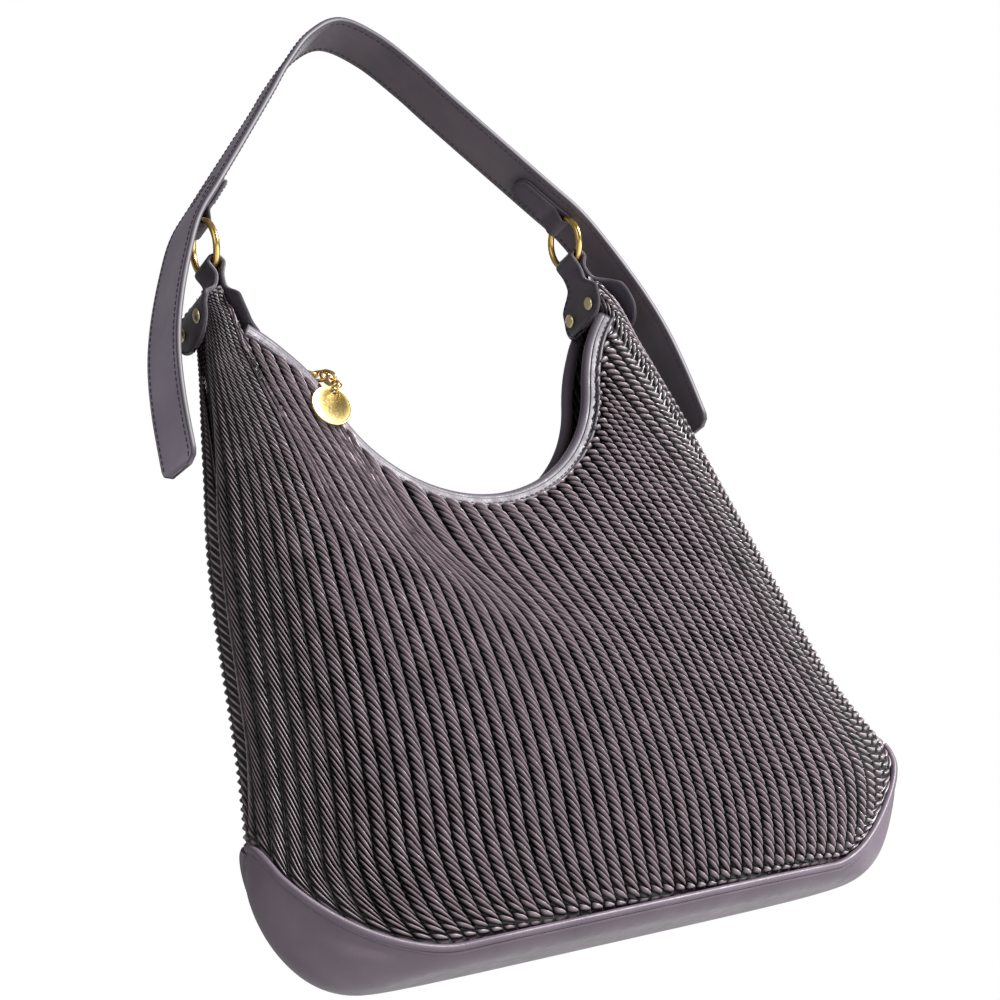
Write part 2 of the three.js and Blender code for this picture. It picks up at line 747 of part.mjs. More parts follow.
function ring(extra = 0) {
  const wire = new THREE.TorusGeometry(RING.radius, RING.wire + extra, 8, 32);
  wire.rotateY(Math.PI / 2);
  return merged(wire);
}

// The room that a loop of leather leaves for the ring inside it.
const ringRoom = () => ring(0.4).translate(RING.x, 0, RING.z);

// The folded strip's centre line on the right horn: up the face in the mouth, round the ring's wire and
// down the face outside.
function anchorLine(end) {
  const half = TAB.thickness / 2;
  const wireZ = RING.z - RING.radius + TAB.loopRise;
  const loopRadius = RING.wire + TAB.loopSlack + half;
  const throatZ = wireZ - TAB.throatDrop;
  const insideLeg = [0.86, 0.9, 0.94, 0.98]
    .map((share) => rimOffset(end * rimLength(end) * share, -(half + 1.3 * GAP)))
    .map((p) => new THREE.Vector2(end * p.x, p.y));
  const loop = arcPoints(RING.x, wireZ, loopRadius, Math.PI, 0);
  const outsideLeg = [4, 12, 22, BODY.hornZ - TAB.tipZ + 2]
    .map((drop) => BODY.hornZ - drop)
    .map((z) => new THREE.Vector2(halfLengthAt(z, end) + TAB.legGap + half, z));
  return new THREE.SplineCurve([
    ...insideLeg,
    new THREE.Vector2(RING.x - half - GAP, TAB.neckZ),
    new THREE.Vector2(RING.x - half - 2 * GAP, throatZ),
    ...loop,
    new THREE.Vector2(RING.x + half + 2 * GAP, throatZ),
    new THREE.Vector2(RING.x + half + TAB.thickness + 6 * GAP, TAB.neckZ),
    new THREE.Vector2(halfLengthAt(BODY.hornZ, end) - TAB.thickness, TAB.neckZ - TAB.thickness * 2),
    ...outsideLeg,
  ]).getPoints(44);
}

// The tab's outline seen along the bag: a narrow neck above a shield with a rounded point.
function shieldFace() {
  const { neckHalfWidth, neckZ, shieldHalfWidth, shoulderZ, sideHeight, tipZ } = TAB;
  const sideZ = shoulderZ - sideHeight;
  const round = 4;
  const face = new THREE.Shape();
  face.moveTo(-neckHalfWidth, RING.z + RING.radius);
  face.lineTo(-neckHalfWidth, neckZ);
  face.quadraticCurveTo(-neckHalfWidth - 1, shoulderZ + round, -shieldHalfWidth, shoulderZ);
  face.lineTo(-shieldHalfWidth, sideZ);
  face.quadraticCurveTo(-shieldHalfWidth + round / 2, tipZ + round, 0, tipZ);
  face.quadraticCurveTo(shieldHalfWidth - round / 2, tipZ + round, shieldHalfWidth, sideZ);
  face.lineTo(shieldHalfWidth, shoulderZ);
  face.quadraticCurveTo(neckHalfWidth + 1, shoulderZ + round, neckHalfWidth, neckZ);
  face.lineTo(neckHalfWidth, RING.z + RING.radius);
  return face;
}

// The leather strip folded over the ring, with one leg on each face of the horn.
function anchorTab(end) {
  const profile = acrossY(stripShape(anchorLine(end), TAB.thickness), 2 * TAB.shieldHalfWidth + 2);
  const reach = BODY.halfLength - MOUTH.radius;
  const stamp = new THREE.ExtrudeGeometry(
    shieldFace(), { depth: reach, bevelEnabled: false, curveSegments: 4 });
  stamp.applyMatrix4(new THREE.Matrix4().makeBasis(
    new THREE.Vector3(0, 1, 0), new THREE.Vector3(0, 0, 1), new THREE.Vector3(1, 0, 0)));
  stamp.translate(MOUTH.radius, 0, 0);
  const holes = [-1, 1].map((side) => rodAlongX(
    RIVET.hole, MOUTH.radius, BODY.halfLength, side * RIVET.y, RIVET.z));
  return cut(common(profile, stamp), ringRoom(), ...holes);
}

// A shaft through both legs and the horn, with a domed cap at each end.
function rivet(end, side) {
  const lowest = RIVET.z - RIVET.head;
  const reach = rimSamples.filter((p) => p.x * end > 0 && p.y >= lowest).map((p) => Math.abs(p.x));
  const inside = Math.min(...reach) - TAB.thickness - 4 * GAP;
  const outside = halfLengthAt(lowest, end) + TAB.legGap + TAB.thickness + 2 * GAP;
  const cap = (x, direction) => [
    [RIVET.head, x], [RIVET.head - 0.4, x + direction * RIVET.headHeight * 0.6],
    [RIVET.head * 0.55, x + direction * RIVET.headHeight], [0, x + direction * RIVET.headHeight * 1.1],
  ];
  const profile = [
    ...cap(inside, -1).reverse(), [RIVET.shaft, inside], [RIVET.shaft, outside], ...cap(outside, 1),
  ].map(([radius, along]) => new THREE.Vector2(radius, along));
  const geometry = new THREE.LatheGeometry(profile, 12);
  geometry.rotateZ(-Math.PI / 2);
  geometry.translate(0, side * RIVET.y, RIVET.z);
  const whole = facingOut(merged(geometry));
  return end < 0 ? mirrorX(whole) : whole;
}

// ---------------------------------------------------------------- strap

// Right half of the strap's centre line, from the hanging end to the crest.
const STRAP_HALF = [
  [175, 292], [172, 331], [167, 361], [158.5, 388], [146, 417], [133, 441.5],
  [116, 462], [90, 492.5], [62, 525.5], [46, 545], [24, 567], [0, 578],
];

const strapLine = new THREE.SplineCurve([
  ...STRAP_HALF.map(([x, z]) => new THREE.Vector2(x, z)),
  ...STRAP_HALF.slice(0, -1).reverse().map(([x, z]) => new THREE.Vector2(-x, z)),
]);

// A point beside the strap's centre line; inwards is towards the arm's side of the arch.
function besideStrap(at, inwards) {
  const along = strapLine.getTangentAt(at);
  const p = strapLine.getPointAt(at);
  return new THREE.Vector2(p.x - along.y * inwards, p.y + along.x * inwards);
}

function strapLayer(inwards) {
  const steps = 64;
  const line = Array.from({ length: steps + 1 }, (_, i) => besideStrap(i / steps, inwards));
  return acrossY(stripShape(line, STRAP.layer), STRAP.width);
}

const strapLayerOffset = STRAP.layer / 2 + GAP / 2;

// The short loop through the ring, its two legs laid on the inner face of the strap.
function strapTab() {
  const half = STRAP.tabThickness / 2;
  const wire = new THREE.Vector2(RING.x, RING.z + RING.radius - GAP * 3);
  const loopRadius = RING.wire + STRAP.tabSlack + half;
  const nearLeg = STRAP.layer + 2.5 * GAP + half;
  const farLeg = nearLeg + STRAP.tabThickness + GAP;
  const samples = Array.from({ length: 400 }, (_, i) => i / 800);
  const ringAt = samples.find((at) => strapLine.getPointAt(at).y >= wire.y);
  const topAt = ringAt + STRAP.tabLength / strapLine.getLength();
  const clearAt = ringAt + STRAP.tabClear / strapLine.getLength();
  const legStops = [0, 1 / 3, 2 / 3, 1].map((share) => mix(clearAt, topAt, share));
  const turn = 0.1;                    // the loop leans in towards the strap by this angle
  const line = new THREE.SplineCurve([
    ...legStops.toReversed().map((at) => besideStrap(at, farLeg)),
    ...arcPoints(wire.x, wire.y, loopRadius, Math.PI - turn, 2 * Math.PI - turn),
    ...legStops.map((at) => besideStrap(at, nearLeg)),
  ]).getPoints(38);
  const profile = acrossY(stripShape(line, STRAP.tabThickness), STRAP.tabWidth);
  const top = besideStrap(topAt, nearLeg);
  const along = top.clone().sub(besideStrap(clearAt, nearLeg)).normalize();
  const rounded = roundedTop().applyMatrix4(new THREE.Matrix4().makeBasis(
    new THREE.Vector3(0, 1, 0), new THREE.Vector3(along.x, 0, along.y),
    new THREE.Vector3(along.y, 0, -along.x)));
  rounded.translate(top.x, 0, top.y);
  return cut(common(profile, rounded), ringRoom());
}

// A long block as wide as the strap's tab whose top end is a half circle, built about that end.
function roundedTop() {
  const radius = STRAP.tabWidth / 2;
  const down = 2 * STRAP.tabLength;
  const face = new THREE.Shape();
  face.moveTo(-radius, -down);
  face.lineTo(-radius, -radius);
  face.absarc(0, -radius, radius, Math.PI, 0, true);
  face.lineTo(radius, -down);
  const block = new THREE.ExtrudeGeometry(
    face, { depth: STRAP.tabLength, bevelEnabled: false, curveSegments: 6 });
  return block.translate(0, 0, -STRAP.tabLength / 2);
}

// ---------------------------------------------------------------- assembly

// The origin is under the middle of the whole length, belly included.
const root = new THREE.Group();
const group = new THREE.Group();
group.name = 'bag';
group.position.x = -BELLY.out / 2;
root.add(group);
const hanger = new THREE.Group();      // everything that hangs round the strap's middle line
hanger.name = 'hanger';
hanger.position.x = HANG.x;
group.add(hanger);
const sides = { front: -1, back: 1 };
const ends = { left: -1, right: 1 };

for (const [name, side] of Object.entries(sides)) {
  group.add(named(`${name}_panel`, panel(side), materials.rope));
  group.add(named(`lining_${name}`, liningPanel(side), materials.lining));
  group.add(named(`base_piping_${name}`, basePiping(side), materials.leather));
  hanger.add(named(`rim_binding_${name}`, rimBinding(side), materials.leather));
  hanger.add(named(`zip_tape_${name}`, zipTape(side), materials.tape));
  hanger.add(named(`zip_row_${name}`, zipRow(side), materials.brass));
  hanger.add(named(`zip_stop_right_${name}`,
    zipStop(ZIP.rightAngle + 0.2, ZIP.rightAngle + 1.2, side * ZIP.rowY, ZIP.rowWidth), materials.brass));
}

group.add(named('base_panel', basePanel(), materials.leather));
group.add(named('base_board', floorPlate(BODY.wall + 0.6, 2, 9), materials.board));
group.add(named('lining_floor', floorPlate(BODY.wall + 3, 1, 9), materials.lining));
hanger.add(named('zip_stop_left',
  zipStop(ZIP.leftAngle - 1.4, ZIP.leftAngle - 0.2, 0, 2 * ZIP.rowY + ZIP.rowWidth), materials.brass));
hanger.add(named('zip_slider', zipSlider(), materials.brass));

for (let i = 0; i < CHAIN.count; i += 1) {
  hanger.add(named(`chain_link_${i + 1}`, chainLink(i), materials.brass));
}
hanger.add(named('charm_jump_ring', jumpRing(), materials.brass));
hanger.add(named('charm_disc', charmDisc(), materials.brass));

hanger.add(named('strap_outer', strapLayer(-strapLayerOffset), materials.leather));
hanger.add(named('strap_lining', strapLayer(strapLayerOffset), materials.darkLeather));

for (const [name, end] of Object.entries(ends)) {
  const flip = (geometry) => (end < 0 ? mirrorX(geometry) : geometry);
  hanger.add(named(`strap_tab_${name}`, flip(strapTab()), materials.darkLeather));
  hanger.add(named(`anchor_tab_${name}`, flip(anchorTab(end)), materials.darkLeather));
  const hoop = named(`ring_${name}`, ring(), materials.brass);
  hoop.position.set(end * RING.x, 0, RING.z);
  hanger.add(hoop);
  for (const [face, side] of Object.entries(sides)) {
    hanger.add(named(`rivet_${name}_${face}`, rivet(end, side), materials.paleBrass));
  }
}

export default root;
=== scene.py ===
"""The looks of a pleated hobo bag: twisted rope pleats on a smooth leather base, built round the CAD frame.

Metres, in the frame's own axes: +X along the bag, -Y towards the front, +Z up.
"""

import json
import math

import bpy
import numpy as np
from mathutils import Matrix, Vector


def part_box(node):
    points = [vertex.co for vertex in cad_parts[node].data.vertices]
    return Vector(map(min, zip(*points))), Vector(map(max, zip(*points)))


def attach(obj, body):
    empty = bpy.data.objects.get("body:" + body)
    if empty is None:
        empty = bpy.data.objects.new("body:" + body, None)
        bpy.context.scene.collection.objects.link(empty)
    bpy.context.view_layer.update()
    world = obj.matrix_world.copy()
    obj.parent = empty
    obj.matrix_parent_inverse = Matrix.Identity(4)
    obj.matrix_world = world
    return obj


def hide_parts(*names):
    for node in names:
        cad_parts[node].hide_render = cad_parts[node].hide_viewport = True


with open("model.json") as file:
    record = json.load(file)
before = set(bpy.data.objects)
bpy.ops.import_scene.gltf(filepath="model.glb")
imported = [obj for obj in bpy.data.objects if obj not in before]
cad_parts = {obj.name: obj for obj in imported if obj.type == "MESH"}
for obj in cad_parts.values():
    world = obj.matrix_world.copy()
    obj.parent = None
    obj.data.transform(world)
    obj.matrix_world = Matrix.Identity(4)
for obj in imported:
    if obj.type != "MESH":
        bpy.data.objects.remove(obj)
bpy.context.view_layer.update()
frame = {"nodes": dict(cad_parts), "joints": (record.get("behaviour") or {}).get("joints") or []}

MM = 0.001
UP = np.array([0.0, 0.0, 1.0])
FRONT, BACK = -1, 1
LEFT, RIGHT = -1, 1
FACES = ((FRONT, "front"), (BACK, "back"))
ENDS = ((LEFT, "left"), (RIGHT, "right"))
ACROSS = np.array([0.0, 1.0, 0.0])

# ---- what the frame says

pivots = {j["name"]: np.array(j["pos_m"]) for j in frame["joints"]}
ring_at = {LEFT: pivots["ring_left_spin"], RIGHT: pivots["ring_right_spin"]}
mouth_at = pivots["zip_travel"]
hang_x = (ring_at[LEFT][0] + ring_at[RIGHT][0]) / 2


def middle(node):
    low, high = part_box(node)
    return np.array((low + high) / 2)


def size(node):
    low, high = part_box(node)
    return np.array(high - low)


foot_x = middle("base_board")[0]
ring_radius = size("ring_left")[2] / 2
ring_wire = size("ring_left")[0] / 2
HORN_ABOVE_PANEL = 3.4 * MM  # the pleats' horns stand this far above the frame's panels
horn_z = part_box("front_panel")[1].z + HORN_ABOVE_PANEL
half_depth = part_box("back_panel")[1].y


def axes_of(node):
    """A CAD node's middle, its own three directions from longest to shortest, and its sizes along them."""
    points = np.array([v.co for v in frame["nodes"][node].data.vertices])
    mean = points.mean(0)
    directions = np.linalg.svd(points - mean, full_matrices=False)[2]
    along = (points - mean) @ directions.T
    low, high = along.min(0), along.max(0)
    order = np.argsort(low - high)
    return mean + ((low + high) / 2) @ directions, directions[order], (high - low)[order]


# ---- small helpers

def smooth(t):
    t = np.clip(t, 0, 1)
    return t * t * (3 - 2 * t)


def mix(a, b, t):
    return a + (b - a) * t


def hump(t):
    """A soft swelling: 1 at 0, and next to nothing past 2 on either side."""
    return np.exp(-t**2)


def unit(v):
    return v / np.maximum(np.linalg.norm(v, axis=-1, keepdims=True), 1e-12)


def spline(points, steps):
    """A smooth curve through the points, with that many steps between neighbours."""
    points = np.asarray(points, float)
    padded = np.vstack([2 * points[0] - points[1], points, 2 * points[-1] - points[-2]])
    out = []
    for i in range(len(points) - 1):
        a, b, c, d = padded[i:i + 4]
        for t in np.arange(steps) / steps:
            out.append(0.5 * (2 * b + (c - a) * t + (2 * a - 5 * b + 4 * c - d) * t**2
                              + (3 * b - a - 3 * c + d) * t**3))
    out.append(points[-1])
    return np.array(out)


def distances(path):
    return np.concatenate([[0], np.cumsum(np.linalg.norm(np.diff(path, axis=0), axis=1))])


def sample(values, run, at):
    """Rows of values, known at the distances in run, read off at other distances."""
    return np.stack([np.interp(at, run, column) for column in values.T], -1)


def evenly(path, spacing):
    """The path again with points that far apart."""
    run = distances(path)
    return sample(path, run, np.linspace(0, run[-1], max(2, round(run[-1] / spacing) + 1)))


def tangents(path):
    return unit(np.gradient(path, axis=0))


def full_turn(steps):
    return np.linspace(0, 2 * math.pi, steps + 1)[:-1]


def in_scene(name, data):
    obj = bpy.data.objects.new(name, data)
    bpy.context.scene.collection.objects.link(obj)
    return obj


def mesh_object(name, points, faces, material, body):
    """A smooth-shaded mesh that rides on a body of the frame."""
    mesh = bpy.data.meshes.new(name)
    mesh.from_pydata(np.asarray(points).tolist(), [], faces)
    mesh.polygons.foreach_set("use_smooth", [True] * len(mesh.polygons))
    mesh.materials.append(material)
    obj = in_scene(name, mesh)
    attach(obj, body)
    return obj


def grid_faces(rows, columns, wrap_rows=False, wrap_columns=False):
    index = np.arange(rows * columns).reshape(rows, columns)
    if wrap_rows:
        index = np.vstack([index, index[:1]])
    if wrap_columns:
        index = np.hstack([index, index[:, :1]])
    corners = [index[:-1, :-1], index[:-1, 1:], index[1:, 1:], index[1:, :-1]]
    return np.stack(corners, -1).reshape(-1, 4).tolist()


class Pile:
    """Several small meshes gathered into one object."""

    def __init__(self):
        self.points = []
        self.faces = []

    def add(self, points, faces):
        start = len(self.points)
        self.points.extend(np.asarray(points).tolist())
        self.faces.extend([[start + i for i in face] for face in faces])

    def build(self, name, material, body):
        return mesh_object(name, self.points, self.faces, material, body)


def sweep(path, side, section, scale=None, closed=False):
    """Points and faces of a section carried along a path.

    side is the direction of the section's first axis, one for all points or one for each, and its second
    axis stands on the path and on side. scale widens the first axis at each point.
    """
    along = tangents(path)
    if closed:
        along = unit(np.roll(path, -1, axis=0) - np.roll(path, 1, axis=0))
    side = unit(side - (side * along).sum(1, keepdims=True) * along)
    lift = np.cross(side, along)
    wide = np.ones(len(path)) if scale is None else scale
    points = (path[:, None] + side[:, None] * section[None, :, :1] * wide[:, None, None]
              + lift[:, None] * section[None, :, 1:])
    count = len(section)
    faces = grid_faces(len(path), count, wrap_rows=closed, wrap_columns=True)
    if not closed:
        last = (len(path) - 1) * count
        faces.append(list(range(count)))
        faces.append([last + i for i in reversed(range(count))])
    return points.reshape(-1, 3), faces


def round_section(radius, sides):
    angle = np.arange(sides) / sides * 2 * math.pi
    return np.column_stack([np.cos(angle), np.sin(angle)]) * radius


def strip_section(width, thickness, soft):
    """A flat strip's section with rounded corners."""
    points = []
    for centre_x, centre_y, start in ((1, 1, 0), (-1, 1, 90), (-1, -1, 180), (1, -1, 270)):
        for step in range(4):
            angle = math.radians(start + 30 * step)
            points.append([centre_x * (width / 2 - soft) + soft * math.cos(angle),
                           centre_y * (thickness / 2 - soft) + soft * math.sin(angle)])
    return np.array(points)


THREAD_RADIUS = 0.36 * MM
STITCH_ALONG = np.array([0, 0.2, 0.5, 0.8, 1])  # of its length
STITCH_RISE = np.array([-0.9, 0.35, 0.6, 0.35, -0.9])  # of the thread's radius


def stitches(pile, path, side, out, length=3.0 * MM, gap=1.0 * MM):
    """A row of thread stitches along a path, each sunk a little at its two ends."""
    run = distances(path)
    out = np.broadcast_to(out, path.shape)
    section = round_section(THREAD_RADIUS, 6)
    for start in np.arange(gap, run[-1] - length, length + gap):
        at = start + STITCH_ALONG * length
        line = sample(path, run, at) + sample(out, run, at) * (THREAD_RADIUS * STITCH_RISE)[:, None]
        pile.add(*sweep(line, sample(side, run, at), section))


def joined(name, parts, material, body):
    pile = Pile()
    for part in parts:
        pile.add(*part)
    return pile.build(name, material, body)


# ---- materials

class Shader:
    """A Principled material, with short names for the nodes that the materials here use."""

    def __init__(self, name):
        self.material = bpy.data.materials.new(name)
        self.material.use_nodes = True
        self.tree = self.material.node_tree
        self.surface = self.tree.nodes["Principled BSDF"]
        self.place = self.node("ShaderNodeTexCoord").outputs["Object"]

    def node(self, kind, inputs=None, **values):
        made = self.tree.nodes.new(kind)
        for key, value in values.items():
            setattr(made, key, value)
        for key, value in (inputs or {}).items():
            made.inputs[key].default_value = value
        return made

    def link(self, source, target):
        self.tree.links.new(source, target)

    def set(self, **values):
        for key, value in values.items():
            self.surface.inputs[key.replace("_", " ")].default_value = value

    def noise(self, scale, detail=4.0, roughness=0.55):
        made = self.node("ShaderNodeTexNoise", {"Scale": scale, "Detail": detail, "Roughness": roughness})
        self.link(self.place, made.inputs["Vector"])
        return made.outputs["Fac"]

    def cells(self, scale):
        made = self.node("ShaderNodeTexVoronoi", {"Scale": scale})
        self.link(self.place, made.inputs["Vector"])
        return made.outputs["Distance"]

    def spread(self, source, low, high, to_low, to_high):
        ends = {"From Min": low, "From Max": high, "To Min": to_low, "To Max": to_high}
        made = self.node("ShaderNodeMapRange", ends)
        self.link(source, made.inputs["Value"])
        return made.outputs["Result"]

    def blend(self, source, dark, light, low=0.3, high=0.7):
        made = self.node("ShaderNodeMix", {6: (*dark, 1), 7: (*light, 1)}, data_type="RGBA")
        self.link(self.spread(source, low, high, 0, 1), made.inputs[0])
        return made.outputs[2]

    def bump(self, height, depth, strength, after=None):
        made = self.node("ShaderNodeBump", {"Distance": depth, "Strength": strength})
        self.link(height, made.inputs["Height"])
        if after is not None:
            self.link(after, made.inputs["Normal"])
        return made.outputs["Normal"]

    def to(self, name, source):
        self.link(source, self.surface.inputs[name])


def leather(name, dark, light, roughness=0.42, grain=900, depth=0.10 * MM):
    """Fine-grained leather: pores, soft creases, uneven dye and a little sheen."""
    s = Shader(name)
    s.to("Base Color", s.blend(s.noise(26), dark, light))
    s.to("Roughness", s.spread(s.noise(140), 0.3, 0.7, roughness - 0.06, roughness + 0.10))
    pores = s.bump(s.cells(grain), depth, 0.55)
    s.to("Normal", s.bump(s.noise(60), 0.35 * MM, 0.35, after=pores))
    s.set(Specular_IOR_Level=0.42, Sheen_Weight=0.08, Sheen_Roughness=0.4)
    return s.material


def rope_leather():
    """The pleats' satin skin: shade painted near black in the grooves, between strands and down the ropes'
    sides, highlight painted pale on their crests, and a little random mottling.
    """
    s = Shader("rope_leather")
    # The mesh's painted shade and highlight, mottled a little by noise, sets the colour from near black where
    # shade is painted to pale where highlight is painted.
    painted_shading = s.node("ShaderNodeAttribute", attribute_name="painted_shading").outputs["Fac"]
    uneven = s.node("ShaderNodeMath", {1: 0.5}, operation="MULTIPLY_ADD")
    s.link(s.noise(90), uneven.inputs[0])
    s.link(painted_shading, uneven.inputs[2])
    s.to("Base Color", s.blend(uneven.outputs[0], (0.0012, 0.0008, 0.001), (0.330, 0.264, 0.292), 0.50, 1.06))
    s.to("Roughness", s.spread(s.noise(300), 0.3, 0.7, 0.27, 0.38))
    fine = s.bump(s.cells(1500), 0.06 * MM, 0.4)
    s.to("Normal", s.bump(s.noise(220), 0.25 * MM, 0.4, after=fine))
    s.set(Specular_IOR_Level=0.5, Sheen_Weight=0.06, Sheen_Roughness=0.35)
    return s.material


def metal(name, dark, light, roughness=0.16):
    """Polished plate with faint rubbing and a slightly uneven surface."""
    s = Shader(name)
    s.to("Base Color", s.blend(s.noise(70), dark, light))
    s.to("Roughness", s.spread(s.noise(900, 6.0), 0.35, 0.7, roughness, roughness + 0.14))
    s.to("Normal", s.bump(s.noise(240, 2.0), 0.02 * MM, 0.15))
    s.set(Metallic=1.0)
    return s.material


def woven(name, dark, light, pitch=0.9 * MM):
    """Woven cloth: two sets of threads that cross at a slant."""
    s = Shader(name)
    sets = []
    for direction, wander in (("DIAGONAL", 0.6), ("Z", 0.0)):
        spacing = {"Scale": 1 / (20 * pitch), "Distortion": wander}
        threads = s.node("ShaderNodeTexWave", spacing, bands_direction=direction)
        s.link(s.place, threads.inputs["Vector"])
        sets.append(threads.outputs["Fac"])
    both = s.node("ShaderNodeMath", operation="MULTIPLY")
    for threads, factor in zip(sets, both.inputs):
        s.link(threads, factor)
    s.to("Base Color", s.blend(both.outputs[0], dark, light, 0, 1))
    s.to("Normal", s.bump(both.outputs[0], 0.2 * MM, 0.6))
    s.set(Roughness=0.85, Sheen_Weight=0.2)
    return s.material


def thread(name, colour):
    """Waxed thread with a fine uneven surface."""
    s = Shader(name)
    s.to("Base Color", s.blend(s.noise(500), tuple(0.7 * c for c in colour), colour))
    s.to("Normal", s.bump(s.noise(2600, 2.0), 0.08 * MM, 0.6))
    s.set(Roughness=0.6)
    return s.material


def edge_paint(name, dark, light):
    """Painted cut edge, gently rippled."""
    s = Shader(name)
    s.to("Base Color", s.blend(s.noise(50), dark, light))
    s.to("Normal", s.bump(s.noise(160, 2.0), 0.2 * MM, 0.3))
    s.set(Roughness=0.5)
    return s.material


rope_skin = rope_leather()
smooth_leather = leather("smooth_leather", (0.106, 0.080, 0.106), (0.146, 0.113, 0.144))
strap_leather = leather("strap_leather", (0.225, 0.190, 0.247), (0.300, 0.256, 0.322), 0.48)
binding_leather = leather("binding_leather", (0.072, 0.058, 0.076), (0.108, 0.088, 0.112), 0.46)
lining_leather = leather("lining_leather", (0.078, 0.063, 0.076), (0.108, 0.088, 0.104), 0.50)
dark_leather = leather("dark_leather", (0.046, 0.037, 0.049), (0.074, 0.061, 0.078), 0.40)
gold = metal("gold", (0.70, 0.46, 0.13), (0.86, 0.60, 0.22))
satin_gold = metal("satin_gold", (0.50, 0.37, 0.13), (0.60, 0.46, 0.19), 0.34)
pale_gold = metal("pale_gold", (0.80, 0.70, 0.36), (0.92, 0.82, 0.50), 0.2)
dark_thread = thread("dark_thread", (0.050, 0.040, 0.048))
lining_cloth = woven("lining_cloth", (0.05, 0.042, 0.052), (0.12, 0.10, 0.125))
tape_cloth = woven("tape_cloth", (0.04, 0.034, 0.042), (0.085, 0.072, 0.088), 0.6 * MM)
lilac_edge = edge_paint("lilac_edge", (0.045, 0.037, 0.050), (0.068, 0.057, 0.074))
fibre_board = leather("fibre_board", (0.20, 0.17, 0.15), (0.30, 0.26, 0.23), 0.8, 500)

# ---- the body's shape

HALF_LENGTH = 208 * MM  # at the widest height
WIDEST_Z = 62 * MM
FOOT_HALF_LENGTH = 155 * MM
FOOT_HALF_DEPTH = 18 * MM
EDGE_HEIGHT = 16 * MM
END_TAPER = 0.205
RIGHT_BULGE = 6.5 * MM  # how far the right end stands out, half way up to the horn
DEPTH_TAPER = 0.02
BELLY = {"z": 68 * MM, "height": 34 * MM, "out": 14 * MM, "from_share": 0.6}
LEAN = {"from_z": 75 * MM, "over": 185 * MM}
SEAM = {"front_z": 8 * MM, "tongue_z": 83 * MM, "start": {LEFT: 0.62, RIGHT: 0.72}, "power": 2.6}
CREASE = {"depth": 7 * MM, "half_width": 14 * MM}
RIM = {"centre_x": 6.5 * MM, "radius": 90 * MM, "flare_angle": math.radians(72), "half_gap": 12 * MM,
       "flare_end": np.array([121, 371]) * MM, "flare_pull": np.array([9.9, 30.4]) * MM,
       "horn_end": np.array([124, 387]) * MM}
LIP = {"depth": 10 * MM, "reach": 14 * MM, "pull": 120 * MM}


def half_length(z, end):
    """From the body's middle to one of its ends; end is negative for the left and positive for the right."""
    rise = np.clip((z - WIDEST_Z) / (horn_z - WIDEST_Z), 0, 1)
    bulge = np.where(np.asarray(end) > 0, RIGHT_BULGE, 0) * np.sin(math.pi * rise)
    above = HALF_LENGTH - END_TAPER * (z - WIDEST_Z) + bulge
    sunk = np.clip((WIDEST_Z - z) / WIDEST_Z, 0, 1)
    below = FOOT_HALF_LENGTH + (HALF_LENGTH - FOOT_HALF_LENGTH) * np.sqrt(1 - sunk**2)
    return np.where(z >= WIDEST_Z, above, below)


def full_depth(z):
    sunk = np.clip((EDGE_HEIGHT - z) / EDGE_HEIGHT, 0, 1)
    rounded = FOOT_HALF_DEPTH + (half_depth - FOOT_HALF_DEPTH) * np.sqrt(1 - sunk**2)
    return rounded - DEPTH_TAPER * np.maximum(0, z - WIDEST_Z)


def middle_x(z):
    """The body's middle leans over from the foot to the line that the strap hangs from."""
    return foot_x + (hang_x - foot_x) * smooth((z - LEAN["from_z"]) / LEAN["over"])


def rim_outline():
    """The rim seen from the front, from the left horn to the right, and the length of its left half.

    x is measured from the line that the strap hangs from, which the comments call the hanging frame.
    """
    halves = []
    for end in (LEFT, RIGHT):
        angle = np.linspace(0, RIM["flare_angle"], 60) * end
        arc = np.column_stack([RIM["centre_x"] + RIM["radius"] * np.sin(angle),
                               mouth_at[2] - RIM["radius"] * np.cos(angle)])
        tip = RIM["flare_end"] * [end, 1]
        pull = arc[-1] + RIM["flare_pull"] * [end, 1]
        t = np.linspace(0, 1, 40)[1:, None]
        flare = (1 - t)**2 * arc[-1] + 2 * t * (1 - t) * pull + t**2 * tip
        halves.append(np.vstack([arc, flare, [RIM["horn_end"] * [end, 1]]]))
    return np.vstack([halves[0][::-1], halves[1][1:]]), distances(halves[0])[-1]


rim_line, rim_left_length = rim_outline()
rim_run = distances(rim_line) - rim_left_length
rim_right_length = rim_run[-1]


def rim_point(run, outwards=0.0):
    """Points of the rim at signed distances from its lowest point, pushed away from the opening."""
    step = 0.5 * MM
    along = unit(sample(rim_line, rim_run, run + step) - sample(rim_line, rim_run, run - step))
    away = np.stack([along[..., 1], -along[..., 0]], -1)
    return sample(rim_line, rim_run, run) + away * outwards


rim_marks = rim_point(np.linspace(-rim_left_length, rim_right_length, 121))


def below_rim(x, z):
    """Distance from the rim, in the front view, for x measured from the body's middle."""
    flat_x, flat_z = np.ravel(x), np.ravel(z)
    near = np.full(flat_x.shape, np.inf)
    for mark in rim_marks:
        near = np.minimum(near, np.hypot(flat_x - mark[0], flat_z - mark[1]))
    return near.reshape(np.shape(x))


def rim_spread(z):
    """How much farther the two sides of the rim stand apart, up beside the horns."""
    return 3 * MM * smooth((z - mouth_at[2]) / (25 * MM))


def depth_at(share, z):
    """Half the bag's depth: the lip near the rim, the full depth lower down, and nothing at either end."""
    below = below_rim(share * half_length(z, share), z)
    roundness = 5 + 9 * (z / horn_z)**2
    edge = (1 - np.minimum(1, np.abs(share))**roundness)**0.45
    lip = RIM["half_gap"] + rim_spread(z) + LIP["depth"] * (1 - np.exp(-below / LIP["reach"]))
    open_up = smooth((below - LIP["depth"]) / LIP["pull"])
    return mix(lip, full_depth(z), open_up) * edge


